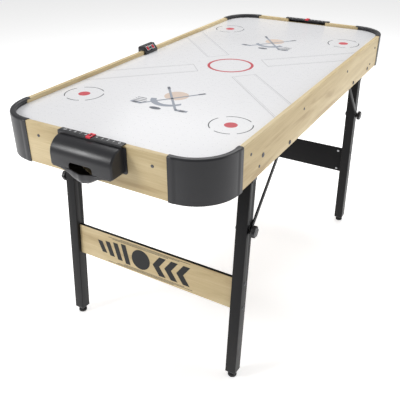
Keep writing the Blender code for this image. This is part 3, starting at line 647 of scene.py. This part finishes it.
def build_motif(name, centre, turn, mirror):
    """A generic emblem: two crossed sticks over a pale disc, a puck and three speed strokes."""
    rotation = Matrix.Rotation(radians(turn), 2)

    def at(points):
        return [tuple(rotation @ Vector((mirror * x, y)) + Vector(centre)) for x, y in points]

    disc = arc((0.0, 0.030), 0.038, 0, 351, 39)
    swoosh = arc((0.0, -0.006), 0.060, 195, 335, 20) + arc((0.004, 0.000), 0.048, 335, 200, 20)
    sticks, tape = [], []
    for side in (-1, 1):
        foot, head = Vector((side * 0.062, -0.075)), Vector((-side * 0.068, 0.090))
        sticks.append(stroke(foot, head, 0.0075))
        blade_end = foot + Vector((side * 0.036, 0.005))
        sticks.append(stroke(foot + Vector((-side * 0.002, 0.001)), blade_end, 0.0125))
        lean = (head - foot).normalized()
        tape.append(stroke(head - lean * 0.024, head - lean * 0.002, 0.0092))
        heel, toe = Vector((side * 0.012, 0.0015)), Vector((side * 0.028, 0.0035))
        tape.append(stroke(foot + heel, foot + toe, 0.0132))
    puck = [(0.019 * cos(tau * i / 32), 0.009 * sin(tau * i / 32) - 0.088) for i in range(32)]
    dashes = []
    for k in range(3):
        y = -0.034 - 0.012 * k
        dashes.append(stroke((-0.098, y), (-0.066 + 0.008 * k, y), 0.0034))
    printed(f"{name}_disc", [at(disc)], "peach_ink")
    printed(f"{name}_swoosh", [at(swoosh)], "blue_ink", INK)
    printed(f"{name}_sticks", [at(s) for s in sticks], "blue_ink", 2 * INK)
    printed(f"{name}_tape", [at(s) for s in tape + [puck] + dashes], "shade_ink", 3 * INK)


# -------- goals


GOAL_HALF = 0.100
GOAL_FACE = CAP_X
GOAL_DEPTH = 0.0505
GOAL_TOP = RAIL_TOP - 0.004
GOAL_LOW = RAIL_TOP - 0.0765
GOAL_ROUND = 0.042
GOAL_WALL = 0.0022
GOAL_BACK = RAIL_OUT_X - CAP_X + GAP
FLANGE_HALF = 0.110
HAND_HALF = 0.038
HAND_TOP = RAIL_TOP - 0.056
HAND_ROUND = 0.010
TRAY_HALF = 0.094
TRAY_HANG = 0.036  # how far the puck tray hangs below the goal box in the middle
TRAY_SPREAD = 0.046  # how far along the box it stays deep
TRAY_RIPPLE = 0.0009
MOUTH_HALF = 0.0365
MOUTH_OUT = 0.0065  # how far the tray's rim stands out in the middle
MOUTH_SPREAD = 0.030
RIM_DROP = 0.0055


def goal_outline(inset, back):
    """Quarter-round side profile as (distance out, height), from the bottom of the back over the top."""
    top, low, front = GOAL_TOP - inset, GOAL_LOW + inset, GOAL_DEPTH - inset
    start, steps = 0.002, 28
    points = [(back, low), (back, top)]
    for i in range(steps + 1):
        angle = pi / 2 * (1 - i / steps)
        points.append((start + (front - start) * cos(angle), top - GOAL_ROUND * (1 - sin(angle))))
    points += arc((front - 0.004, low + 0.004), 0.004, 0, -90, 5)
    return points


def tray_loops(sx, half_width, steps, section):
    """Sections across the puck tray. section(depth, swell, ripple) gives (distance out, height)."""
    loops = []
    for i in range(steps + 1):
        y = half_width * (-1 + 2 * i / steps)
        depth = TRAY_HANG * exp(-((y / TRAY_SPREAD) ** 2))
        swell = exp(-((y / MOUTH_SPREAD) ** 2))
        ripple = TRAY_RIPPLE * cos(tau * y / 0.028) * swell
        loops.append([(sx * (GOAL_FACE + n), y, z) for n, z in section(depth, swell, ripple)])
    return loops


def tray_front(depth, swell, ripple, wall):
    """The tray's front from its rim down to its floor, set in by the wall's thickness."""
    out = GOAL_DEPTH - GAP + MOUTH_OUT * swell + ripple - wall
    rim = GOAL_LOW + 0.001 - RIM_DROP * swell + ripple
    points = [(out - 0.0002 * swell, rim - 0.12 * depth - 0.0004)]
    points.append((out - 0.001 * swell, rim - 0.35 * depth - 0.0008))
    points.append((out - 0.0028 * swell - 0.0004, GOAL_LOW - 0.62 * depth - 0.0007 + wall * 0.6))
    points.append((out - 0.006 * swell - 0.001, GOAL_LOW - 0.8 * depth - 0.0008 + wall))
    return out, rim, points


def tray_body(depth, swell, ripple):
    """The tray's outside: a bowl under the goal box whose rim stands out below the hand opening."""
    out, rim, front = tray_front(depth, swell, ripple, 0.0)
    back, top, floor = GOAL_BACK + GAP, GOAL_LOW + 0.001, GOAL_LOW - depth - 0.001
    points = [(back, top), (GOAL_DEPTH - 0.002, top), (out - 0.0006, rim + 0.0003)]
    points += [(out, rim - 0.0003)] + front
    points += [(GOAL_DEPTH - 0.0100, GOAL_LOW - 0.94 * depth - 0.0009)]
    return points + [(GOAL_DEPTH - 0.014, floor), (back, floor)]


def tray_bowl(depth, _swell, _ripple):
    """The room inside the tray, open to the goal box above it and to the end rail behind it."""
    back, front = -0.012, GOAL_DEPTH - GAP - 0.001 - GOAL_WALL
    top, floor = GOAL_LOW + 0.004, GOAL_LOW - depth - 0.001 + GOAL_WALL
    points = [(back, top), (front, top), (front, GOAL_LOW - 0.35 * depth + 0.001)]
    return points + [(GOAL_DEPTH - 0.0155, floor), (back, floor)]


def tray_mouth(depth, swell, ripple):
    """The room behind the rim, open upwards into the hand opening."""
    out, _, front = tray_front(depth, swell, ripple, GOAL_WALL)
    points = [(0.030, GOAL_LOW + 0.005), (out, GOAL_LOW + 0.005)] + front
    return points + [(0.030, GOAL_LOW - 0.8 * depth - 0.0008 + GOAL_WALL)]


def build_goal_box(end, sx):
    """A rounded box with a flange behind it, hollow, with a hand opening and the tray below."""

    def at(inset):
        return [(sx * (GOAL_FACE + n), z) for n, z in goal_outline(inset, GOAL_BACK)]

    goal = eased_prism(f"goal_box_{end}_moulding", at, "Y", -GOAL_HALF, GOAL_HALF, 0.0050, 6, 28.0)
    corner = 0.006
    flange = [(FLANGE_HALF - 0.001, GOAL_TOP - 0.001), (FLANGE_HALF, GOAL_TOP - 0.002)]
    flange += arc((FLANGE_HALF - corner, GOAL_LOW - 0.001 + corner), corner, 0, -90, 6)
    flange += [(-y, z) for y, z in reversed(flange)]
    span = sorted((sx * (GOAL_FACE + GOAL_BACK), sx * (GOAL_FACE + 0.0010)))
    boolean(goal, prism("flange", flange, "X", *span), "UNION", 28.0)
    boolean(goal, loft("tray", tray_loops(sx, TRAY_HALF, 60, tray_body)), "UNION", 28.0)
    inside = [(sx * (GOAL_FACE + n), z) for n, z in goal_outline(GOAL_WALL, -0.01)]
    boolean(goal, prism("hollow", inside, "Y", GOAL_WALL - GOAL_HALF, GOAL_HALF - GOAL_WALL), sharp=28.0)
    boolean(goal, loft("bowl", tray_loops(sx, TRAY_HALF - 0.004, 60, tray_bowl)), sharp=28.0)
    boolean(goal, loft("mouth", tray_loops(sx, MOUTH_HALF, 40, tray_mouth)), sharp=28.0)
    low, round_z = GOAL_LOW + GOAL_WALL, HAND_TOP - HAND_ROUND
    opening = [(-HAND_HALF, low), (HAND_HALF, low)]
    opening += arc((HAND_HALF - HAND_ROUND, round_z), HAND_ROUND, 0, 90, 8)
    opening += arc((-HAND_HALF + HAND_ROUND, round_z), HAND_ROUND, 90, 180, 8)
    span = sorted((sx * (GOAL_FACE + 0.030), sx * (GOAL_FACE + 0.080)))
    boolean(goal, prism("opening", opening, "X", *span), sharp=28.0)
    finished(goal, "plastic", "cabinet", [f"goal_box_{end}"])


NUMERAL_SIZE = 0.0122


def text_mesh(name, text, size):
    """Flat numerals as a mesh in the XY plane, centred on the origin."""
    curve = bpy.data.curves.new(name, "FONT")
    curve.body = text
    curve.size = size
    curve.extrude = INK / 2
    curve.align_x = "CENTER"
    curve.align_y = "CENTER"
    curve.resolution_u = 4
    holder = bpy.data.objects.new(name, curve)
    bpy.context.scene.collection.objects.link(holder)
    graph = bpy.context.evaluated_depsgraph_get()
    mesh = bpy.data.meshes.new_from_object(holder.evaluated_get(graph))
    bpy.data.objects.remove(holder, do_unlink=True)
    return mesh


def build_score_strip(end, sx):
    """A thin strip whose outer edge turns down, with two grooves along it and a row of numbers."""
    low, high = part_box(f"score_strip_{end}")
    inner, outer = sorted((abs(low.x), abs(high.x)))
    half, top, under, apron = high.y, high.z, RAIL_TOP + GAP, low.z

    def profile(inset):
        face, back, roof = outer - inset, inner + inset, top - inset
        ease = 0.0009
        points = [(back, under), (face - 0.0018, under), (face - 0.0018, apron), (face, apron)]
        points += arc((face - ease, roof - ease), ease, 0, 90, 4)
        points += arc((back + ease, roof - ease), ease, 90, 180, 4)
        return [(sx * x, z) for x, z in points]

    strip = eased_prism(f"score_strip_{end}_moulding", profile, "Y", -half, half, 0.0005, 2)
    reach, groove_half = half - 0.003, 0.0005
    for inset, depth in ((0.0036, 0.0007), (0.0178, 0.0003)):
        x = sx * (outer - inset)
        start = (x - groove_half, -reach, top - depth)
        boolean(strip, box("groove", start, (x + groove_half, reach, top + 0.01)))
    finished(strip, "plastic", "cabinet", [f"score_strip_{end}"])
    pitch, count, line = 0.0176, 11, sx * (inner + 0.0083)
    shape = bmesh.new()
    for i in range(count):
        y = sx * (i - (count - 1) / 2) * pitch
        mesh = text_mesh("numeral", str(i), NUMERAL_SIZE)
        turn = Matrix.Rotation(radians(-90 if sx < 0 else 90), 4, "Z")
        mesh.transform(Matrix.Translation((line, -y, top + INK / 2 + 0.00002)) @ turn)
        shape.from_mesh(mesh)
    finished(as_object(f"score_numbers_{end}", shape), "white_ink", "cabinet")
    build_slider(end)


def build_slider(end):
    """The red marker: a frame with a window over one number and skirts round the strip's edges."""
    softened(f"score_slider_{end}", "red", 0.0009, 3, 25.0)


# -------- electronic scorer


def build_scorer():
    softened("scorer_housing", "plastic", 0.0011, 3, 28.0)
    softened("scorer_lens", "lens", 0.0004, 2)
    low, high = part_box("reset_button")
    centre = ((low.x + high.x) / 2, (low.y + high.y) / 2, low.z)
    radius, height = (high.x - low.x) / 2, high.z - low.z
    profile = [(radius, 0.0), (radius, height - 0.0012), (radius * 0.96, height - 0.0006)]
    profile += [(radius * 0.82, height - 0.0001), (radius * 0.5, height)]
    cap = turned("reset_button_cap", profile, centre, "Z", 28)
    finished(cap, "button", "reset_key", ["reset_button"])
    build_display()


def lens_plane():
    """The middle of the lens's outer face, and unit vectors along X, down the slope and out."""
    mesh = frame["nodes"]["scorer_lens"].data
    face = max(mesh.polygons, key=lambda p: p.area * (p.normal.z > 0))
    normal = face.normal.copy()
    corners = [v.co for v in mesh.vertices if (v.co - face.center).dot(normal) > -1e-5]
    middle = sum(corners, Vector()) / len(corners)
    down = normal.cross(Vector((1, 0, 0)))
    if down.z > 0:
        down = -down
    return middle, Vector((1, 0, 0)), down, normal


def build_display():
    """Two lit digits with pale frames and small pips on the sloping window."""
    middle, right, down, normal = lens_plane()
    lift, thickness = 0.0001, 0.00015
    lit, pale = bmesh.new(), bmesh.new()

    def on_lens(shape, outline):
        """Lays an outline of (u along X, v up the slope) on the lens. It is read from the field."""
        flat = [middle + right * u - down * v for u, v in outline]
        add_loft(shape, [[point + normal * height for point in flat] for height in (lift, lift + thickness)])

    wide, tall, thick = 0.0052, 0.0105, 0.0019
    for centre_u in (-0.0165, 0.0165):
        x0, x1 = centre_u - wide / 2, centre_u + wide / 2
        bars = [((x0, tall / 2), (x1, tall / 2)), ((x0, -tall / 2), (x1, -tall / 2))]
        for x in (x0, x1):
            bars += [((x, tall / 2 - 0.0008), (x, 0.0006)), ((x, -0.0006), (x, -tall / 2 + 0.0008))]
        for a, b in bars:
            on_lens(lit, stroke(a, b, thick))
        half, line = 0.0080, 0.0011
        left, right_u = centre_u - half, centre_u + half
        for v in (half, -half):
            on_lens(pale, stroke((left, v), (right_u, v), line))
        for u in (left, right_u):
            on_lens(pale, stroke((u, -half), (u, half), line))
    pip_pitch, pip_half = 0.0028, 0.0010
    for k in range(-2, 3):
        u0, u1 = k * pip_pitch - pip_half, k * pip_pitch + pip_half
        for v, height in ((0.0050, 0.0026), (-0.0054, 0.0020)):
            on_lens(pale, stroke((u0, v), (u1, v), height))
    finished(as_object("scorer_digits", lit), "digit", "cabinet")
    finished(as_object("scorer_marks", pale), "white_ink", "cabinet")


# -------- fasteners


def cross_head(radius, height, axis_out):
    """A pan head with a cross recess, standing at the origin and facing along axis_out."""
    profile = [(radius, 0.0), (radius, height * 0.35)]
    profile += [(radius * 0.93, height * 0.72), (radius * 0.72, height)]
    head = turned("head", profile, (0, 0, 0), "Z", 28)
    arm = radius * 0.52
    for turn in (0, 90):
        slot = box("slot", (-arm, -radius * 0.12, height * 0.35), (arm, radius * 0.12, height * 2))
        slot.data.transform(Matrix.Rotation(radians(turn), 4, "Z"))
        boolean(head, slot)
    mesh = head.data
    bpy.data.objects.remove(head, do_unlink=True)
    mesh.transform(Vector((0, 0, 1)).rotation_difference(Vector(axis_out)).to_matrix().to_4x4())
    return mesh


def fastener(name, mesh, where, look, body):
    """A copy of a screw head's mesh, moved to its place."""
    obj = bpy.data.objects.new(name, mesh.copy())
    bpy.context.scene.collection.objects.link(obj)
    obj.data.transform(Matrix.Translation(where))
    return finished(obj, look, body)


def build_rail_screws():
    """Screw heads on the rails. Each spot is (distance from the table's middle, height, head)."""
    small, big = (0.0044, 0.0014), (0.0070, 0.0022)
    hinge_spots = {
        "near": [(0.505, 0.790, big), (0.525, 0.765, small)],
        "far": [(0.5005, 0.757, big), (0.533, 0.767, small)],
    }
    for side, sy in SIDES:
        heads = {size: cross_head(*size, (0, sy, 0)) for size in (small, big)}
        y = sy * (RAIL_OUT_Y + 0.0001)
        for end, sx in ENDS:
            spots = [(0.580, 0.822, small), (0.213, 0.822, small)] + hinge_spots[end]
            for number, (x, z, size) in enumerate(spots):
                name = f"rail_screw_{end}_{side}_{number}"
                fastener(name, heads[size], (sx * x, y, z), "dark_steel", "cabinet")
    for end, sx in ENDS:
        head = cross_head(*small, (sx, 0, 0))
        for side, sy in SIDES:
            where = (sx * (RAIL_OUT_X + 0.0001), sy * 0.185, 0.824)
            fastener(f"end_screw_{end}_{side}", head, where, "dark_steel", "cabinet")


# -------- leg frames


def lean_out(obj, sx):
    """Leans a piece that was drawn upright in line with its pivot, so that its foot stands out."""
    pivot = Matrix.Translation((sx * PIVOT_X, 0, PIVOT_Z))
    obj.data.transform(pivot @ Matrix.Rotation(-sx * LEAN, 4, "Y") @ pivot.inverted())
    return obj


def build_legs():
    for name, end, sx, sy in CORNERS:
        softened(f"leg_{name}", "legs", 0.0009, 2, 25.0)
        softened(f"brace_{name}", "legs", 0.0010, 2, 40.0)
        softened(f"hinge_bracket_{name}", "legs", 0.0006, 2)
        build_foot_plug(name, f"{end}_leg_frame", sx, sy)
        build_foot(name, sx, sy)
        build_brace_bolt(name, sx, sy)
        build_lock(name, end, sx, sy)
    for end, sx in ENDS:
        build_crossbar(end, sx)
        build_crossbar_bolts(end, sx)
        build_pivot_rod(end, sx)


def build_pivot_rod(end, sx):
    """A rod with a flat head at each end."""
    low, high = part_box(f"pivot_rod_{end}")
    tail, radius = high.y, (high.x - low.x) / 2
    profile = [(0.0058, -tail), (radius, -tail + 0.0010)]
    profile += [(radius, -tail + 0.0030), (0.004, -tail + 0.0030)]
    profile += [(r, -y) for r, y in reversed(profile)]
    rod = turned(f"pivot_rod_{end}_bar", profile, (sx * PIVOT_X, 0, PIVOT_Z), "Y", 32)
    finished(rod, "dark_steel", "cabinet", [f"pivot_rod_{end}"])


def build_foot_plug(name, body, sx, sy):
    """The plug that closes a tube's lower end. It narrows to a round collar, bored for the foot's stud."""
    x, y = sx * PIVOT_X, sy * LEG_Y
    shoulder = LEG_BOTTOM - GAP
    half_x, half_y = LEG_HALF_DEPTH, LEG_HALF_WIDTH

    def ring(inset_x, inset_y, radius, z):
        outline = rounded_rectangle(half_x - inset_x, half_y - inset_y, radius, 8, (x, y))
        return [(px, py, z) for px, py in outline]

    loops = [
        ring(0.0085, 0.0075, 0.0104, 0.0145),
        ring(0.0078, 0.0068, 0.0108, 0.0149),
        ring(0.0040, 0.0035, 0.0080, 0.0170),
        ring(0.0014, 0.0012, 0.0045, 0.0188),
        ring(0.0003, 0.0003, 0.0022, 0.0202),
        ring(0.0, 0.0, 0.0018, 0.0212),
        ring(0.0, 0.0, 0.0018, shoulder - 0.0004),
        ring(0.0004, 0.0004, 0.0016, shoulder),
        ring(0.0018, 0.0018, 0.0010, shoulder),
        ring(0.0018, 0.0018, 0.0010, shoulder + 0.025),
    ]
    plug = loft(f"foot_plug_{name}_moulding", loops)
    boolean(plug, turned("bore", [(0.0043, 0.0), (0.0043, shoulder + 0.020)], (x, y, 0), "Z", 24))
    finished(lean_out(plug, sx), "plastic", body, [f"foot_plug_{name}"])


def build_foot(name, sx, sy):
    """A notched pad, flat on the floor, on a screw stud that leans with the leg."""
    x, y, radius = sx * FOOT_X, sy * LEG_Y, 0.0148
    profile = [(radius - 0.0022, 0.0), (radius - 0.0008, 0.0006), (radius, 0.0022), (radius, 0.0068)]
    profile += [(radius - 0.0006, 0.0084), (radius - 0.0024, 0.0093), (0.0068, 0.0096), (0.0066, 0.0118)]
    foot = turned(f"levelling_foot_{name}_pad", profile, (x, y, 0), "Z", 48)
    for k in range(12):
        angle = tau * k / 12
        where = (x + radius * 1.035 * cos(angle), y + radius * 1.035 * sin(angle), 0)
        boolean(foot, turned("notch", [(0.0012, 0.0028), (0.0012, 0.0200)], where, "Z", 10))
    stud = turned("stud", [(0.004, 0.0055), (0.004, 0.0400), (0.0034, 0.0412)], (sx * PIVOT_X, y, 0), "Z", 24)
    boolean(foot, lean_out(stud, sx), "UNION")
    finished(foot, "rubber", f"{name}_foot", [f"levelling_foot_{name}"])


def build_brace_bolt(name, sx, sy):
    """A dome-headed bolt on a washer, with a hexagon socket."""
    low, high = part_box(f"brace_bolt_{name}")
    inner, tip = sorted((abs(low.y), abs(high.y)))
    face = RAIL_OUT_Y + GAP
    profile = [(0.004, inner), (0.004, face), (0.0070, face), (0.0070, face + 0.0008)]
    profile += [(0.0060, face + 0.0009), (0.0057, face + 0.0017), (0.0047, face + 0.0025), (0.0034, tip)]
    centre = (sx * BRACE_BOLT_X, 0, BRACE_BOLT_Z)
    bolt = turned(f"brace_bolt_{name}_head", [(r, sy * y) for r, y in profile], centre, "Y", 36)
    span = [(0.0024, sy * (face + 0.0012)), (0.0024, sy * (face + 0.01))]
    boolean(bolt, turned("socket", span, centre, "Y", 6))
    finished(bolt, "dark_steel", "cabinet", [f"brace_bolt_{name}"])


def build_lock(name, end, sx, sy):
    """The six-lobed knob and its bolt, which has a domed head on the leg's inner face."""
    centre = Vector((sx * PIVOT_X, 0, LOCK_Z))
    lobes, lobe_height, segments = 6, 0.065, 96
    # Radius, distance from the table's axis, and how fully the lobes show there.
    profile = [(0.0060, 0.3428, 0.0), (0.0062, 0.3450, 0.0), (0.0090, 0.3459, 0.1), (0.0140, 0.3460, 0.6)]
    profile += [(0.0158, 0.3464, 1.0), (0.0168, 0.3474, 1.0), (0.0170, 0.3492, 1.0), (0.0170, 0.3555, 1.0)]
    profile += [(0.0167, 0.3575, 1.0), (0.0158, 0.3588, 1.0), (0.0142, 0.3593, 0.8), (0.0110, 0.3592, 0.4)]
    profile += [(0.0082, 0.3586, 0.0), (0.0078, 0.3586, 0.0), (0.0074, 0.3592, 0.0), (0.0050, 0.3594, 0.0)]
    loops = []
    for radius, y, share in profile:
        loop = []
        for i in range(segments):
            angle = tau * i / segments
            r = radius * (1 + lobe_height * share * cos(lobes * angle))
            loop.append(centre + Vector((r * cos(angle), sy * y, r * sin(angle))))
        loops.append(loop)
    knob = loft(f"lock_knob_{name}_grip", loops, 40.0)
    boolean(knob, turned("bore", [(0.0043, sy * 0.3550), (0.0043, sy * 0.30)], centre, "Y", 24), sharp=40.0)
    finished(lean_out(knob, sx), "plastic", f"{name}_lock_knob", [f"lock_knob_{name}"])
    head = LEG_IN_Y - GAP
    profile = [(0.0040, head - 0.0070), (0.0066, head - 0.0062), (0.0084, head - 0.0044)]
    profile += [(0.0090, head - 0.0022), (0.0090, head), (0.004, head), (0.004, 0.3533)]
    bolt = turned(f"knob_bolt_{name}_shank", [(r, sy * y) for r, y in profile], centre, "Y", 36)
    finished(lean_out(bolt, sx), "dark_steel", f"{end}_leg_frame", [f"knob_bolt_{name}"])


def build_crossbar(end, sx):
    """A panel with the wood print on its outer face and black foil on its back and edges."""
    x, half = sx * PIVOT_X, LEG_IN_Y - GAP
    low = (x - CROSSBAR_HALF_DEPTH, -half, CROSSBAR_LOW)
    high = (x + CROSSBAR_HALF_DEPTH, half, CROSSBAR_HIGH)
    bar = box(f"crossbar_{end}_panel", low, high, 0.0009, 3)
    finished(bar, "black_edge", f"{end}_leg_frame", [f"crossbar_{end}"])
    bar.data.materials.append(LOOKS["wood_y"])
    for face in bar.data.polygons:
        if face.normal.x * sx > 0.7:
            face.material_index = 1
    lean_out(bar, sx)
    build_crossbar_print(end, sx)


def build_crossbar_print(end, sx):
    """Thin speed lines above and below a row of chevrons, a plain disc and slanted bars."""
    face = sx * (PIVOT_X + CROSSBAR_HALF_DEPTH + 0.00002)
    middle_z = (CROSSBAR_LOW + CROSSBAR_HIGH) / 2
    outlines = []

    def add(points):
        outlines.append([(-sx * u, v + middle_z) for u, v in points])

    def slanted(u, width, half, slant):
        return [(u - slant, -half), (u + width - slant, -half), (u + width + slant, half), (u + slant, half)]

    def chevron(u, width, half, depth):
        point = [(u + width, -half), (u + width + depth, 0.0), (u + width, half)]
        return [(u, -half)] + point + [(u, half), (u + depth, 0.0)]

    thin = 0.0008
    lines = [(-0.150, 0.275, 0.0500), (-0.110, 0.285, 0.0462), (-0.066, 0.225, 0.0424)]
    lines += [(-0.130, 0.240, -0.0424), (-0.160, 0.300, -0.0462), (-0.090, 0.270, -0.0500)]
    for start, length, v in lines:
        stop = start + length
        add([(start, v - thin), (stop, v - thin), (stop, v + thin), (start, v + thin)])
    for k in range(3):
        add(chevron(-0.150 + 0.046 * k, 0.026, 0.036, 0.026))
    add(arc((0.042, 0.0), 0.037, 0, 352, 44))
    for k in range(4):
        add(slanted(0.094 + 0.033 * k, 0.020, 0.036 - 0.005 * k, 0.010))
    shape = bmesh.new()
    for outline in outlines:
        add_loft(shape, [[(x, y, z) for y, z in outline] for x in (face, face + sx * INK)])
    marks = finished(as_object(f"crossbar_print_{end}", shape), "black_ink", f"{end}_leg_frame")
    lean_out(marks, sx)


def build_crossbar_bolts(end, sx):
    """Bolt heads on the legs' outer faces and the barrel nuts they meet in the panels' inner faces."""
    body = f"{end}_leg_frame"
    x = sx * PIVOT_X
    inner_x = x - sx * CROSSBAR_HALF_DEPTH
    for side, sy in SIDES:
        head = cross_head(0.0055, 0.0020, (0, sy, 0))
        nut_y = sy * (LEG_IN_Y - 0.019)
        for number, z in enumerate((CROSSBAR_LOW + 0.012, CROSSBAR_HIGH - 0.012)):
            name = f"{end}_{side}_{number}"
            where = (x, sy * (LEG_OUT_Y + 0.0001), z)
            lean_out(fastener(f"crossbar_bolt_{name}", head, where, "dark_steel", body), sx)
            profile = [(0.0050, 0.0), (0.0050, -sx * 0.0006), (0.0044, -sx * 0.0010)]
            nut = turned(f"barrel_nut_{name}", profile, (inner_x, nut_y, z), "X", 28)
            x0, x1 = sorted((inner_x - sx * 0.0005, inner_x - sx * 0.003))
            long, thin = 0.0035, 0.0006
            slot = box("slot", (x0, nut_y - long, z - thin), (x1, nut_y + long, z + thin))
            boolean(nut, slot)
            lean_out(finished(nut, "steel", body), sx)


# -------- under the table


def dress_hidden_parts():
    looks = {
        "base_board": "board",
        "blower_motor": "steel",
        "blower_impeller": "button",
        "power_box": "plastic",
        "blower_housing": "plastic",
        "power_switch": "red",
    }
    for node, look in looks.items():
        materials = frame["nodes"][node].data.materials
        materials.clear()
        materials.append(LOOKS[look])


# -------- studio


def build_studio():
    bpy.ops.mesh.primitive_plane_add(size=24.0, location=(0.0, 0.0, -0.0005))
    floor = bpy.context.object
    floor.name = "studio_floor"
    look = Look("studio_floor", (0.93, 0.93, 0.93), 0.9, specular=0.1)
    look.set("Emission Color", (1.0, 1.0, 1.0, 1.0))
    look.set("Emission Strength", 0.53)
    floor.data.materials.append(look.material)
    world = bpy.data.worlds.new("studio")
    world.use_nodes = True
    world.node_tree.nodes["Background"].inputs["Color"].default_value = (1.0, 1.0, 1.0, 1.0)
    world.node_tree.nodes["Background"].inputs["Strength"].default_value = 0.28
    bpy.context.scene.world = world
    add_light("key", (-2.7, 1.9, 2.3), (-0.5, 0.0, 0.7), 1.0, 50.0)
    add_light("fill", (1.0, -3.3, 1.6), (0.0, -0.3, 0.75), 2.0, 34.0)
    add_light("top", (1.3, 0.4, 3.2), (0.5, 0.1, 0.8), 3.0, 84.0)


def add_light(name, where, target, size, power):
    data = bpy.data.lights.new(name, "AREA")
    data.size = size
    data.energy = power
    light = bpy.data.objects.new(name, data)
    light.location = where
    light.rotation_euler = (Vector(target) - Vector(where)).to_track_quat("-Z", "Y").to_euler()
    bpy.context.scene.collection.objects.link(light)


def build_camera():
    where, target, roll = Vector((-1.7303, -0.8841, 1.4214)), Vector((-0.2872, -0.0405, 0.45)), -0.0038
    data = bpy.data.cameras.new("camera")
    data.sensor_width = 36.0
    data.lens = 49.86
    camera = bpy.data.objects.new("camera", data)
    turn = (target - where).to_track_quat("-Z", "Y").to_matrix() @ Matrix.Rotation(roll, 3, "Z")
    camera.matrix_world = Matrix.Translation(where) @ turn.to_4x4()
    bpy.context.scene.collection.objects.link(camera)
    bpy.context.scene.camera = camera
    bpy.context.scene.view_settings.view_transform = "Standard"


build_camera()
build_studio()
build_rails()
build_caps()
build_surface()
build_spots()
build_field_lines()
build_motif("near_motif", (-0.395, -0.005), -90.0, 1)
build_motif("far_motif", (0.350, -0.005), -90.0, -1)
for goal_end, goal_sx in ENDS:
    build_goal_box(goal_end, goal_sx)
    build_score_strip(goal_end, goal_sx)
build_scorer()
build_rail_screws()
build_legs()
dress_hidden_parts()
